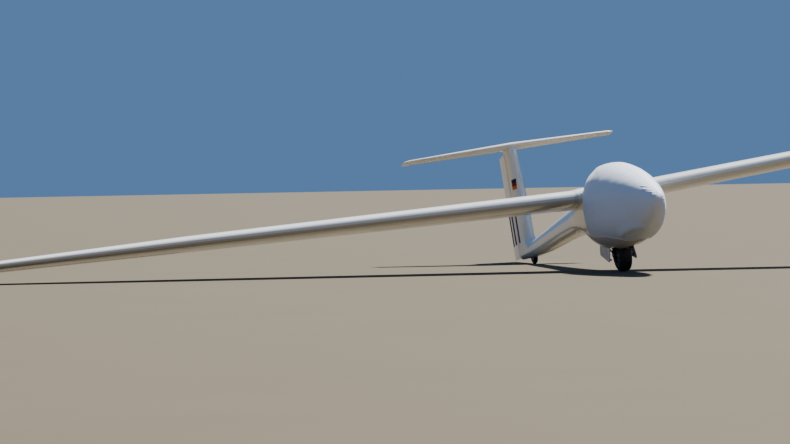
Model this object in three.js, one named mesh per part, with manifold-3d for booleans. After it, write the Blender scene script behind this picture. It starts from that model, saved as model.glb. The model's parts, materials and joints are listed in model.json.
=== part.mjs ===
// A fifteen-metre single-seat sailplane, parked on its main wheel, its tail wheel and one wing tip,
// with a fabric cover drawn over its nose and canopy.
// Lengths are in millimetres. The airframe is drawn level in its own axes: x to its left wing,
// y aft from the nose tip, z up from the nose. A tilted group then sets it down on the ground.

import * as THREE from 'three';
import { mergeVertices } from 'three/addons/utils/BufferGeometryUtils.js';
import Module from 'manifold-3d';

const wasm = await Module();
wasm.setup();

// Gaps
const SEAT_GAP = 0.3;             // between pieces that touch
const MOVE_GAP = 5;               // between a moving piece and its neighbour

// Driving dimensions
const HALF_SPAN = 7500;
const WING_ROOT_X = 330;          // where each wing meets its stub on the fuselage
const WING_LEAD_Y = 1950;         // leading edge at the root
const WING_Z = 300;               // leading edge at the root, above the nose
const WING_INCIDENCE = 3.8;       // degrees
const WING_CAMBER = 0.028;
const STAB_HALF_SPAN = 1220;
const ELEVATOR_HINGE_Y = 6388;
const STAB_Z = 1300;
const STAB_INCIDENCE = 2.4;       // degrees
const FIN_BASE_Z = 70;
const FIN_TOP_Z = STAB_Z - 10;
const RUDDER_HINGE = 0.50;        // share of the fin's chord
const ELEVATOR_HINGE = 0.72;      // share of the tailplane's chord
const AILERON_HINGE = 0.80;       // share of the wing's chord
const AILERON_IN = 4320;
const AILERON_OUT = 7000;
const PIN_RADIUS = 4;
const PIN_PLAY = 0.4;
const LIMITS = { aileron: 20, elevator: 25, rudder: 30 };   // degrees, each way
const MAIN_AXLE = { y: 1800, z: -352 };
const MAIN_TYRE_R = 178;
const TAIL_AXLE = { y: 5880, z: 18 };
const TAIL_TYRE_R = 100;
const COVER_END_Y = 1880;
const COVER_GAP = 0.5;
const COVER_THICK = 9;

// Fuselage sections: y, half width, top, bottom, height of the widest point
const FUSELAGE = [
  { y: 0, half: 14, top: 34, bottom: 6, wide: 20 },
  { y: 35, half: 50, top: 76, bottom: -53, wide: 20 },
  { y: 120, half: 86, top: 127, bottom: -111, wide: 20 },
  { y: 300, half: 136, top: 202, bottom: -185, wide: 24 },
  { y: 550, half: 191, top: 291, bottom: -250, wide: 34 },
  { y: 850, half: 246, top: 388, bottom: -292, wide: 48 },
  { y: 1180, half: 284, top: 474, bottom: -312, wide: 60 },
  { y: 1500, half: 300, top: 537, bottom: -316, wide: 70 },
  { y: 1800, half: 297, top: 550, bottom: -302, wide: 80 },
  { y: 2100, half: 275, top: 498, bottom: -248, wide: 92 },
  { y: 2400, half: 240, top: 424, bottom: -150, wide: 106 },
  { y: 2750, half: 199, top: 356, bottom: -68, wide: 118 },
  { y: 3200, half: 160, top: 312, bottom: -12, wide: 124 },
  { y: 3900, half: 132, top: 270, bottom: -6, wide: 118 },
  { y: 5000, half: 102, top: 204, bottom: -28, wide: 88 },
  { y: 5780, half: 78, top: 156, bottom: -18, wide: 70 },
  { y: 6380, half: 54, top: 140, bottom: 10, wide: 76 },
];
const RING_POINTS = 36;
const BOOM_START_Y = 3200;        // behind it the sections need no ring between them
const UPPER_POWER = 2.28;
const LOWER_POWER = 2.3;

// Lifting surfaces: span, leading edge, chord, thickness share, rise
const WING = [
  { span: WING_ROOT_X, lead: 0, chord: 900, thick: 0.178, rise: 0 },
  { span: 4250, lead: 20, chord: 755, thick: 0.17, rise: 152 },
  { span: 7050, lead: 150, chord: 450, thick: 0.145, rise: 248 },
  { span: 7330, lead: 206, chord: 352, thick: 0.135, rise: 256 },
  { span: 7440, lead: 250, chord: 278, thick: 0.125, rise: 259 },
  { span: HALF_SPAN, lead: 304, chord: 190, thick: 0.105, rise: 261 },
];
// The stub swells towards the fuselage, which makes the fillet at the wing's root.
const WING_STUB = [
  { span: 60, lead: -30, chord: 950, thick: 0.165, rise: -6 },
  { span: 150, lead: -28, chord: 960, thick: 0.192, rise: -5 },
  { span: 235, lead: -20, chord: 945, thick: 0.202, rise: -3 },
  { span: 285, lead: -8, chord: 918, thick: 0.189, rise: -1 },
  { span: WING_ROOT_X - SEAT_GAP, lead: 0, chord: 900, thick: 0.178, rise: 0 },
];
const STAB_ROWS = [
  { span: 0, chord: 530, thick: 0.125 },
  { span: STAB_HALF_SPAN - 60, chord: 320, thick: 0.12 },
  { span: STAB_HALF_SPAN, chord: 250, thick: 0.10 },
];
const FIN = [
  { span: FIN_BASE_Z, lead: 5800, chord: 1090, thick: 0.12, rise: 0 },
  { span: FIN_TOP_Z, lead: 5800, chord: 1030, thick: 0.11, rise: 0 },
];
// The fin's front is cut to this shape: it sweeps back, and dives under the tailplane at its head.
const FIN_FRONT = [
  { span: 20, lead: 5785, chord: 1120, thick: 0.140, rise: 0 },
  { span: 240, lead: 5790, chord: 1110, thick: 0.137, rise: 0 },
  { span: 1160, lead: 5950, chord: 925, thick: 0.135, rise: 0 },
  { span: 1225, lead: 5974, chord: 900, thick: 0.135, rise: 0 },
  { span: 1265, lead: 6004, chord: 880, thick: 0.130, rise: 0 },
  { span: FIN_TOP_Z + 10, lead: 6050, chord: 850, thick: 0.130, rise: 0 },
];
// The fin's fillet, which runs out into the fin above and into the boom below
const FIN_FILLET = [
  { span: 80, lead: 5690, chord: 700, thick: 0.180, rise: 0 },
  { span: 120, lead: 5728, chord: 690, thick: 0.205, rise: 0 },
  { span: 160, lead: 5762, chord: 640, thick: 0.215, rise: 0 },
  { span: 200, lead: 5790, chord: 590, thick: 0.200, rise: 0 },
  { span: 240, lead: 5812, chord: 540, thick: 0.200, rise: 0 },
];
const RUDDER_FOOT_Z = 43;
const RUDDER_HEAD_Z = STAB_Z - 72;
const AIRFOIL_POINTS = 15;        // on each side of the leading edge
const TRAILING_HALF = 1.4;

const WHITE = { color: 0xf1f1ee, roughness: 0.25, metalness: 0 };
const COVER_CLOTH = { color: 0xe9e9ec, roughness: 0.85, metalness: 0 };
const RUBBER = { color: 0x161618, roughness: 0.9, metalness: 0 };
const DARK_METAL = { color: 0x232427, roughness: 0.5, metalness: 0.7 };
const BRIGHT_METAL = { color: 0xb9bcc0, roughness: 0.35, metalness: 0.9 };

// Turning meshes into solids and back

function toSolid(geometry) {
  const bare = geometry.clone();
  for (const name of Object.keys(bare.attributes)) {
    if (name !== 'position') bare.deleteAttribute(name);
  }
  const merged = mergeVertices(bare, 1e-3);
  return new wasm.Manifold(new wasm.Mesh({
    numProp: 3,
    vertProperties: new Float32Array(merged.attributes.position.array),
    triVerts: new Uint32Array(merged.index.array),
  }));
}

function toGeometry(solid) {
  const mesh = solid.getMesh();
  const positions = new Float32Array(mesh.numVert * 3);
  for (let i = 0; i < mesh.numVert; i++) {
    positions.set(mesh.vertProperties.subarray(i * mesh.numProp, i * mesh.numProp + 3), i * 3);
  }
  const geometry = new THREE.BufferGeometry();
  geometry.setAttribute('position', new THREE.BufferAttribute(positions, 3));
  geometry.setIndex(new THREE.BufferAttribute(new Uint32Array(mesh.triVerts), 1));
  geometry.computeVertexNormals();
  return geometry;
}

// A closed skin over rings of points that pair up left and right, with flat ends.
function loft(rings) {
  const count = rings[0].length;
  const positions = rings.flat().flatMap((p) => [p.x, p.y, p.z]);
  const faces = [];
  const quad = (a, b, c, d) => faces.push([a, b, c], [a, c, d]);
  for (let r = 0; r < rings.length - 1; r++) {
    for (let i = 0; i < count; i++) {
      const j = (i + 1) % count;
      quad(r * count + i, r * count + j, (r + 1) * count + j, (r + 1) * count + i);
    }
  }
  const cap = (base, turn) => {
    const half = Math.floor(count / 2);
    const put = (a, b, c) => {
      const face = turn ? [a, c, b] : [a, b, c];
      faces.push(face.map((i) => base + i));
    };
    for (let i = 0; i + 1 < half; i++) {
      put(i, count - 1 - i, count - 2 - i);
      put(i, count - 2 - i, i + 1);
    }
    if (count % 2) put(half - 1, half + 1, half);
  };
  cap(0, false);
  cap((rings.length - 1) * count, true);
  let volume = 0;
  const at = (i) => new THREE.Vector3().fromArray(positions, i * 3);
  for (const [a, b, c] of faces) volume += at(a).dot(at(b).cross(at(c)));
  const index = faces.flatMap((f) => (volume > 0 ? f : [f[0], f[2], f[1]]));
  const geometry = new THREE.BufferGeometry();
  geometry.setAttribute('position', new THREE.Float32BufferAttribute(positions, 3));
  geometry.setIndex(index);
  return geometry;
}

// Fuselage

function fuselageRing(section, grow) {
  const ring = [];
  for (let i = 0; i < RING_POINTS; i++) {
    const angle = Math.PI / 2 - ((i + 0.5) / RING_POINTS) * 2 * Math.PI;
    const c = Math.cos(angle);
    const s = Math.sin(angle);
    const power = 2 / (s > 0 ? UPPER_POWER : LOWER_POWER);
    const reach = s > 0 ? section.top - section.wide : section.wide - section.bottom;
    ring.push(new THREE.Vector3(
      Math.sign(c) * Math.abs(c) ** power * (section.half + grow),
      section.y,
      section.wide + Math.sign(s) * Math.abs(s) ** power * (reach + grow),
    ));
  }
  return ring;
}

// Puts a ring between each two rows, on a smooth curve through the rows on both sides.
function smoothSections(rows) {
  const slope = (i, key) => {
    const [before, after] = [rows[Math.max(i - 1, 0)], rows[Math.min(i + 1, rows.length - 1)]];
    return (after[key] - before[key]) / (after.y - before.y);
  };
  const out = [];
  for (let i = 0; i < rows.length; i++) {
    out.push(rows[i]);
    if (i === 0 || rows[i].y >= BOOM_START_Y) continue;
    const gap = rows[i + 1].y - rows[i].y;
    const between = { y: rows[i].y + gap / 2 };
    for (const key of ['half', 'top', 'bottom', 'wide']) {
      const bulge = (slope(i, key) - slope(i + 1, key)) * gap / 8;
      between[key] = (rows[i][key] + rows[i + 1][key]) / 2 + bulge;
    }
    out.push(between);
  }
  return out;
}

const SECTIONS = smoothSections(FUSELAGE);

// The fuselage's outer shape, grown by a margin all round and past the nose.
function fuselageLoft(grow, sections) {
  const rings = sections.map((section, i) => (
    fuselageRing(i ? section : { ...section, y: section.y - grow }, grow)
  ));
  return toSolid(loft(rings));
}

// Lifting surfaces

function stationAt(table, span) {
  const last = table.length - 1;
  let i = 0;
  while (i < last - 1 && span > table[i + 1].span) i++;
  const [a, b] = [table[i], table[i + 1]];
  const share = (span - a.span) / (b.span - a.span);
  const mix = (key) => a[key] + (b[key] - a[key]) * share;
  return { span, lead: mix('lead'), chord: mix('chord'), thick: mix('thick'), rise: mix('rise') };
}

// Half the aerofoil's thickness at a share of the chord, as a share of its greatest thickness.
function thicknessAt(x) {
  const sum = 0.2969 * Math.sqrt(x) - 0.1260 * x - 0.3516 * x ** 2 + 0.2843 * x ** 3 - 0.1036 * x ** 4;
  return 5 * sum;
}

class LiftingSurface {
  constructor({ table, camber = 0, incidence = 0, origin = new THREE.Vector3(), side = 1 }) {
    Object.assign(this, { table, camber, origin, side });
    this.tilt = THREE.MathUtils.degToRad(incidence);
  }

  halfThickness(station, x) {
    return station.chord * station.thick * thicknessAt(x) + TRAILING_HALF * x;
  }

  // A point at a share of the chord, a distance off the mean line.
  point(station, x, off) {
    const along = station.chord * x;
    const up = station.chord * 4 * this.camber * x * (1 - x) + off;
    return new THREE.Vector3(
      this.side * station.span,
      station.lead + along * Math.cos(this.tilt) + up * Math.sin(this.tilt),
      station.rise - along * Math.sin(this.tilt) + up * Math.cos(this.tilt),
    ).add(this.origin);
  }

  ring(station) {
    const shares = Array.from({ length: AIRFOIL_POINTS }, (_, i) => (
      (1 + Math.cos((Math.PI * i) / AIRFOIL_POINTS)) / 2
    ));
    const upper = shares.map((x) => this.point(station, x, this.halfThickness(station, x)));
    const lower = shares.map((x) => this.point(station, x, -this.halfThickness(station, x)));
    return [...upper, this.point(station, 0, 0), ...lower.reverse()];
  }

  solid() {
    return toSolid(loft(this.table.map((station) => this.ring(station))));
  }

  // Where a control turns, inside the skin, with the skin's radius there.
  hingeAt(span, x) {
    const station = stationAt(this.table, span);
    return { at: this.point(station, x, 0), radius: this.halfThickness(station, x) };
  }

  // The line that a control turns about. The tables keep it straight.
  hingeLine(from, to, x) {
    return { a: this.hingeAt(from, x), b: this.hingeAt(to, x) };
  }

  // The space behind the hinge line, between two spans.
  behind(from, to, x) {
    const { a, b } = this.hingeLine(from, to, x);
    const far = 900;
    const tall = 1200;
    const outline = new THREE.Shape([
      new THREE.Vector2(a.at.x, a.at.y),
      new THREE.Vector2(b.at.x, b.at.y),
      new THREE.Vector2(b.at.x, b.at.y + far),
      new THREE.Vector2(a.at.x, a.at.y + far),
    ]);
    const prism = new THREE.ExtrudeGeometry(outline, { depth: tall, bevelEnabled: false });
    prism.translate(0, 0, this.origin.z - tall / 2);
    return toSolid(prism);
  }

  // A round bar about the hinge line, its radius worked out from the skin's all along.
  nose(from, to, x, radiusOf) {
    const between = this.table.map((row) => row.span).filter((span) => span > from && span < to);
    const stops = [from, ...between, to].map((span) => this.hingeAt(span, x));
    const rods = stops.slice(1).map((stop, i) => (
      rod(stops[i].at, stop.at, radiusOf(stops[i].radius), radiusOf(stop.radius), 20)
    ));
    return join(...rods);
  }

  // Splits a solid into the control behind a hinge line and the rest, with a pin at each end.
  split(solid, { from, to, hinge, limit, pins = [from, to] }) {
    const inner = from + MOVE_GAP;
    const outer = to - MOVE_GAP;
    const sweep = Math.cos(THREE.MathUtils.degToRad(limit));
    const coveRadius = (radius) => radius / sweep + MOVE_GAP;
    let control = solid.intersect(
      this.behind(inner, outer, hinge).add(this.nose(inner, outer, hinge, (radius) => radius)),
    );
    let rest = solid
      .subtract(this.behind(from, to, hinge))
      .subtract(this.nose(from, to, hinge, coveRadius));
    for (const end of pins) {
      const reach = MOVE_GAP + 14;
      rest = rest.add(this.nose(end - reach, end + reach, hinge, () => PIN_RADIUS));
      control = control.subtract(
        this.nose(end - reach - 1, end + reach + 1, hinge, () => PIN_RADIUS + PIN_PLAY),
      );
    }
    return { control, rest };
  }
}

// A round bar from one point to another.
function rod(from, to, radiusFrom, radiusTo = radiusFrom, sides = 16) {
  const way = to.clone().sub(from);
  const geometry = new THREE.CylinderGeometry(radiusTo, radiusFrom, way.length(), sides);
  geometry.applyQuaternion(new THREE.Quaternion().setFromUnitVectors(
    new THREE.Vector3(0, 1, 0),
    way.clone().normalize(),
  ));
  geometry.translate(...from.clone().add(to).multiplyScalar(0.5).toArray());
  return geometry;
}

function box(sizeX, sizeY, sizeZ, x, y, z) {
  return new THREE.BoxGeometry(sizeX, sizeY, sizeZ).translate(x, y, z);
}

// A plate drawn in y and z, its thickness even about x = 0.
function sidewaysPlate(outline, thick) {
  const settings = { depth: thick, bevelEnabled: false, curveSegments: 4 };
  const plate = new THREE.ExtrudeGeometry(outline, settings);
  plate.applyMatrix4(new THREE.Matrix4().makeBasis(
    new THREE.Vector3(0, 1, 0),
    new THREE.Vector3(0, 0, 1),
    new THREE.Vector3(1, 0, 0),
  ));
  return plate.translate(-thick / 2, 0, 0);
}

function join(...geometries) {
  return geometries.map(toSolid).reduce((all, one) => all.add(one));
}

function piece(name, shape, look) {
  const geometry = shape.isBufferGeometry ? shape : toGeometry(shape);
  const mesh = new THREE.Mesh(geometry, new THREE.MeshStandardMaterial(look));
  mesh.name = name;
  return mesh;
}

// Undercarriage sizes
const BAY_HALF_WIDTH = 112;
const BAY_MIDDLE_Y = 1905;
const BAY_HALF_LENGTH = 310;
const BAY_TOP_Z = MAIN_AXLE.z + MAIN_TYRE_R + 42;
const TAIL_SLOT_HALF_WIDTH = 33;
const TAIL_SLOT_HALF_LENGTH = 118;
const TAIL_SLOT_TOP_Z = TAIL_AXLE.z + TAIL_TYRE_R + 8;

// The wheel bay, or its upper part.
function mainBay(height = 400) {
  return toSolid(box(
    BAY_HALF_WIDTH * 2,
    BAY_HALF_LENGTH * 2,
    height,
    0,
    BAY_MIDDLE_Y,
    BAY_TOP_Z - height / 2,
  ));
}

function tailSlot() {
  const height = 260;
  return toSolid(box(
    TAIL_SLOT_HALF_WIDTH * 2,
    TAIL_SLOT_HALF_LENGTH * 2,
    height,
    0,
    TAIL_AXLE.y,
    TAIL_SLOT_TOP_Z - height / 2,
  ));
}

// The fin stands in the plane of symmetry: span turns from x to z.
const finTable = [
  stationAt(FIN, RUDDER_FOOT_Z - MOVE_GAP),
  ...FIN,
];
const finSurface = new LiftingSurface({ table: finTable });
const UPRIGHT = new THREE.Matrix4().makeRotationY(-Math.PI / 2);

function upright(solid) {
  return toSolid(toGeometry(solid).applyMatrix4(UPRIGHT));
}

const RUDDER = {
  from: RUDDER_FOOT_Z - MOVE_GAP,
  to: RUDDER_HEAD_Z,
  hinge: RUDDER_HINGE,
  limit: LIMITS.rudder,
  pins: [RUDDER_HEAD_Z],
};
const FOOT_PIN = { from: 20, to: RUDDER_FOOT_Z + 12, spare: 2 };
const FIN_HEAD_END_Y = ELEVATOR_HINGE_Y - 32;      // the fin's head stops here, clear of the elevator
const FIN_SPACE = { wide: 400, middleY: 6000, long: 2000, tall: 1300 };

// All that the fin may fill: above the boom's core, and short of the elevator at its head.
function finSpace() {
  const { wide, middleY, long, tall } = FIN_SPACE;
  const foot = FIN_BASE_Z - 20;
  const head = RUDDER_HEAD_Z - 2;
  const all = box(wide, long, tall, 0, middleY, foot + tall / 2);
  const behindHead = box(wide, long, tall, 0, FIN_HEAD_END_Y + long / 2, head + tall / 2);
  return toSolid(all).subtract(toSolid(behindHead));
}

function makeTail() {
  const { control, rest } = finSurface.split(finSurface.solid(), RUDDER);
  const front = new LiftingSurface({ table: FIN_FRONT }).solid();
  const { from, to, spare } = FOOT_PIN;
  const footPin = finSurface.nose(from, to, RUDDER.hinge, () => PIN_RADIUS);
  const footBore = finSurface.nose(from, to + spare, RUDDER.hinge, () => PIN_RADIUS + PIN_PLAY);
  const sweep = Math.cos(THREE.MathUtils.degToRad(RUDDER.limit));
  const gap = finSurface.behind(RUDDER.from, RUDDER.to, RUDDER.hinge).add(
    finSurface.nose(RUDDER.from, RUDDER.to, RUDDER.hinge, (radius) => radius / sweep + MOVE_GAP),
  );
  return {
    rudder: upright(control.subtract(footBore)),
    fin: upright(rest.intersect(front)).intersect(finSpace()),
    fillet: upright(new LiftingSurface({ table: FIN_FILLET }).solid()),
    gap: upright(gap),
    footPin: upright(footPin),
  };
}

const leftStub = new LiftingSurface({
  table: WING_STUB,
  camber: WING_CAMBER,
  incidence: WING_INCIDENCE,
  origin: new THREE.Vector3(0, WING_LEAD_Y, WING_Z),
});
const rightStub = new LiftingSurface({ ...leftStub, incidence: WING_INCIDENCE, side: -1 });

function makeFuselage(tail) {
  return fuselageLoft(0, SECTIONS)
    .add(leftStub.solid())
    .add(rightStub.solid())
    .add(tail.fillet)
    .subtract(tail.gap)
    .add(tail.fin)
    .add(tail.footPin)
    .subtract(mainBay())
    .subtract(tailSlot());
}

// The cover is a skin over the nose and canopy, cut off behind and along a rising hem.
const HEM = [
  { y: 900, z: -300 },
  { y: 964, z: -288 },
  { y: 1051, z: -242 },
  { y: 1288, z: -186 },
  { y: 1779, z: -124 },
  { y: COVER_END_Y, z: -118 },
];
const COVER_SPACE = { frontY: -100, belowY: 780, bottom: -600, top: 800, wide: 1000 };

function makeCover() {
  const sections = SECTIONS.filter((section) => section.y <= 2100);
  const outer = fuselageLoft(COVER_GAP + COVER_THICK, sections);
  const inner = fuselageLoft(COVER_GAP, sections);
  const { frontY, belowY, bottom, top, wide } = COVER_SPACE;
  const side = new THREE.Shape([
    new THREE.Vector2(frontY, bottom),
    new THREE.Vector2(belowY, bottom),
    ...HEM.map(({ y, z }) => new THREE.Vector2(y, z)),
    new THREE.Vector2(COVER_END_Y, top),
    new THREE.Vector2(frontY, top),
  ]);
  return outer.subtract(inner).intersect(toSolid(sidewaysPlate(side, wide)));
}

// Airbrakes: a blade that rises out of a slot in the wing's upper skin, under a cap strip
const AIRBRAKE = { from: 1750, to: 2950, chordShare: 0.52, slotHalf: 17, capHalf: 12, bladeHalf: 4 };
const AIRBRAKE_FLOOR = 9;         // wing skin left under the slot
const AIRBRAKE_CAP = 7;           // thickness of the cap strip

// A wall along the wing at the airbrake's place, between two heights given at each end.
function airbrakeWall(surface, from, to, halfWidth, lowOf, highOf) {
  const ends = [from, to].map((span) => {
    const station = stationAt(surface.table, span);
    const middle = surface.point(station, AIRBRAKE.chordShare, 0);
    const half = surface.halfThickness(station, AIRBRAKE.chordShare);
    return { middle, low: middle.z + lowOf(half), high: middle.z + highOf(half) };
  });
  const rings = ends.map(({ middle, low, high }) => [
    new THREE.Vector3(middle.x, middle.y - halfWidth, low),
    new THREE.Vector3(middle.x, middle.y - halfWidth, high),
    new THREE.Vector3(middle.x, middle.y + halfWidth, high),
    new THREE.Vector3(middle.x, middle.y + halfWidth, low),
  ]);
  return toSolid(loft(rings));
}

// The airbrake slides on posts that stand in its slot.
const POST = { radius: 4, bossRadius: 9, inset: 120 };

function airbrakePosts(surface, radius, lowOf, highOf) {
  const spans = [AIRBRAKE.from + POST.inset, AIRBRAKE.to - POST.inset];
  return join(...spans.map((span) => {
    const station = stationAt(surface.table, span);
    const middle = surface.point(station, AIRBRAKE.chordShare, 0);
    const half = surface.halfThickness(station, AIRBRAKE.chordShare);
    const low = new THREE.Vector3(middle.x, middle.y, middle.z + lowOf(half));
    const high = new THREE.Vector3(middle.x, middle.y, middle.z + highOf(half));
    return rod(low, high, radius);
  }));
}

function makeWing(side) {
  const surface = new LiftingSurface({
    table: WING,
    camber: WING_CAMBER,
    incidence: WING_INCIDENCE,
    origin: new THREE.Vector3(0, WING_LEAD_Y, WING_Z),
    side,
  });
  const whole = surface.solid();
  const { control, rest } = surface.split(whole, {
    from: AILERON_IN,
    to: AILERON_OUT,
    hinge: AILERON_HINGE,
    limit: LIMITS.aileron,
  });
  const { from, to, slotHalf, capHalf, bladeHalf } = AIRBRAKE;
  const inner = from + MOVE_GAP;
  const outer = to - MOVE_GAP;
  const above = () => 200;
  const floor = (half) => AIRBRAKE_FLOOR - half;
  const foot = (half) => AIRBRAKE_FLOOR + MOVE_GAP - half;
  const underCap = (half) => half - AIRBRAKE_CAP / 2;
  const slot = airbrakeWall(surface, from, to, slotHalf, floor, above);
  const cap = whole.intersect(
    airbrakeWall(surface, inner, outer, capHalf, (half) => half - AIRBRAKE_CAP, above),
  );
  const blade = airbrakeWall(surface, inner, outer, bladeHalf, foot, underCap);
  const postTop = (half) => half - AIRBRAKE_CAP - 4;
  const bore = airbrakePosts(surface, POST.radius + PIN_PLAY, floor, (half) => postTop(half) + 3);
  const airbrake = cap
    .add(blade)
    .add(airbrakePosts(surface, POST.bossRadius, foot, underCap))
    .subtract(bore);
  const posts = airbrakePosts(surface, POST.radius, (half) => floor(half) - 4, postTop);
  return { surface, wing: rest.subtract(slot).add(posts), aileron: control, airbrake };
}

// A runner under the wing tip
const TIP_SKID = { span: 7380, length: 170, height: 34, halfWidth: 11 };

function tipSkidSeat(surface) {
  const station = stationAt(surface.table, TIP_SKID.span);
  return surface.point(station, 0.36, -surface.halfThickness(station, 0.36));
}

function makeTipSkid(surface) {
  const seat = tipSkidSeat(surface);
  const outline = new THREE.Shape();
  outline.moveTo(-TIP_SKID.length / 2, 12);
  outline.lineTo(-TIP_SKID.length / 2, 4);
  outline.lineTo(-TIP_SKID.length / 2 + 42, -TIP_SKID.height + 8);
  outline.lineTo(-TIP_SKID.length / 2 + 66, -TIP_SKID.height);
  outline.lineTo(TIP_SKID.length / 2 - 66, -TIP_SKID.height);
  outline.lineTo(TIP_SKID.length / 2 - 30, -TIP_SKID.height + 8);
  outline.lineTo(TIP_SKID.length / 2, 0);
  outline.lineTo(TIP_SKID.length / 2, 12);
  return sidewaysPlate(outline, TIP_SKID.halfWidth * 2).translate(...seat.toArray());
}

const AXLE_RADIUS = 12;
const AXLE_HOLE = 12.4;

// Wheels turn about x.
function wheelOf(profile, segments) {
  return new THREE.LatheGeometry(profile.map(([r, y]) => new THREE.Vector2(r, y)), segments)
    .rotateZ(Math.PI / 2);
}

function mirrored(half) {
  const back = half.slice().reverse().filter(([, y]) => y !== 0).map(([r, y]) => [r, -y]);
  const all = [...half, ...back];
  return [...all, all[0]];
}

// Half profiles of the wheels: radius, distance from the wheel's middle plane
const MAIN_TYRE = mirrored([
  [66, -40], [98, -58], [134, -64], [160, -57], [172, -42], [177, -22], [MAIN_TYRE_R, 0],
]);
const MAIN_HUB = mirrored([
  [AXLE_HOLE, -44], [26, -44], [30, -34], [52, -30], [58, -43], [65.5, -43], [65.5, 0],
]);
const TAIL_TYRE = mirrored([[46, -17], [66, -24], [86, -24], [97, -14], [TAIL_TYRE_R, 0]]);
const TAIL_HUB = mirrored([[8.4, -24], [20, -24], [24, -14], [40, -14], [45.6, -16], [45.6, 0]]);

function closedOutside(profile) {
  let area = 0;
  for (let i = 0; i + 1 < profile.length; i++) {
    area += profile[i][0] * profile[i + 1][1] - profile[i + 1][0] * profile[i][1];
  }
  return area > 0 ? profile : profile.slice().reverse();
}

// The fork hangs from a cross tube ahead of the axle, and the brace from one behind it.
const FORK = { dy: -175, dz: 150, tube: 17, armX: 80, armTop: 15, armFoot: 5, eye: 24, eyeHalf: 8 };
const BRACE = { dy: 330, dz: 150, tube: 14, armTop: 10, armFoot: 7, eye: 12, footDy: 33, footDz: 15 };
const AXLE = { half: 101, nutFrom: 88, nut: 19 };
const BRAKE = { from: 50, to: 55, radius: 55, boss: 18, bossEnd: 71.5 };
const BRAKE_LEVER = { thick: 5, wide: 16, long: 40, dy: 20, dz: 46 };

function makeGear() {
  const { y, z } = MAIN_AXLE;
  const at = (x, dy, dz) => new THREE.Vector3(x, y + dy, z + dz);
  const across = (from, to, radius, sides, dy = 0, dz = 0) => (
    rod(at(from, dy, dz), at(to, dy, dz), radius, radius, sides)
  );
  const wall = BAY_HALF_WIDTH - SEAT_GAP;
  const axleHole = across(-AXLE.half - 19, AXLE.half + 19, AXLE_HOLE);
  const fork = join(
    across(-wall, wall, FORK.tube, 16, FORK.dy, FORK.dz),
    ...[-FORK.armX, FORK.armX].flatMap((x) => [
      rod(at(x, FORK.dy, FORK.dz), at(x, 0, 0), FORK.armTop, FORK.armFoot, 12),
      across(x - FORK.eyeHalf, x + FORK.eyeHalf, FORK.eye),
    ]),
  ).subtract(toSolid(axleHole));
  const { footDy, footDz } = BRACE;
  const brace = join(
    across(-wall, wall, BRACE.tube, 16, BRACE.dy, BRACE.dz),
    ...[-FORK.armX, FORK.armX].flatMap((x) => [
      rod(at(x, BRACE.dy, BRACE.dz), at(x, footDy, footDz), BRACE.armTop, BRACE.armFoot, 12),
      across(x - FORK.eyeHalf, x + FORK.eyeHalf, BRACE.eye, 16, footDy, footDz),
    ]),
  );
  const axle = join(
    across(-AXLE.half + 5, AXLE.half - 5, AXLE_RADIUS),
    across(-AXLE.half, -AXLE.nutFrom - SEAT_GAP, AXLE.nut, 6),
    across(AXLE.nutFrom + SEAT_GAP, AXLE.half, AXLE.nut, 6),
  );
  const lever = box(
    BRAKE_LEVER.thick,
    BRAKE_LEVER.wide,
    BRAKE_LEVER.long,
    (BRAKE.from + BRAKE.to) / 2,
    y + BRAKE_LEVER.dy,
    z + BRAKE_LEVER.dz,
  );
  const brakePlate = join(
    across(BRAKE.from, BRAKE.to, BRAKE.radius, 28),
    across(BRAKE.from, BRAKE.bossEnd, BRAKE.boss),
    lever,
  ).subtract(toSolid(axleHole));
  return { fork, brace, axle, brakePlate };
}

// One gear door hangs open from each edge of the bay.
const DOOR = {
  middleY: 1985,
  length: 430,
  frontDrop: 144,
  rearDrop: 52,
  frontRound: 50,
  rearRound: 60,
  thick: 7,
  lean: 8,
  rise: 110,
  top: -274,
  edge: 20,
  fromBay: 6,
  knobRadius: 9,
  knobReach: 24,
  knobIn: 30,
  knobUp: 22,
};

function makeDoor(side) {
  const half = DOOR.length / 2;
  const outline = new THREE.Shape();
  outline.moveTo(-half, DOOR.rise);
  outline.lineTo(half, DOOR.rise);
  outline.lineTo(half, 0);
  outline.quadraticCurveTo(half - 6, -DOOR.rearDrop, half - DOOR.rearRound, -DOOR.rearDrop);
  outline.lineTo(-half + DOOR.frontRound, -DOOR.frontDrop);
  outline.quadraticCurveTo(-half + 4, -DOOR.frontDrop, -half, -DOOR.frontDrop + 46);
  const plate = sidewaysPlate(outline, DOOR.thick);
  const knobAt = (x) => new THREE.Vector3(x, -half + DOOR.knobIn, -DOOR.frontDrop + DOOR.knobUp);
  const knob = rod(knobAt(0), knobAt(-side * DOOR.knobReach), DOOR.knobRadius);
  const across = side * (BAY_HALF_WIDTH + DOOR.thick / 2 + DOOR.fromBay);
  const parts = [plate, knob].map((geometry) => geometry
    .rotateY(THREE.MathUtils.degToRad(-side * DOOR.lean))
    .translate(across, DOOR.middleY, DOOR.top));
  const bayAbove = mainBay(BAY_TOP_Z - DOOR.top - DOOR.edge);
  return join(...parts).subtract(fuselageLoft(SEAT_GAP, SECTIONS)).subtract(bayAbove);
}

const TOW_HOOK = { y: 1415, z: -321, width: 46, length: 92, height: 26 };
const HOOK_RING = { half: 9, radius: 12, ahead: 5, up: 1 };

function makeTowHook() {
  const { y, z, width, length, height } = TOW_HOOK;
  const front = y - length / 2 - HOOK_RING.ahead;
  const end = (x) => new THREE.Vector3(x, front, z + HOOK_RING.up);
  const hook = rod(end(-HOOK_RING.half), end(HOOK_RING.half), HOOK_RING.radius);
  const housing = box(width, length, height, 0, y, z);
  return join(housing, hook).subtract(fuselageLoft(SEAT_GAP, SECTIONS));
}

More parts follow.
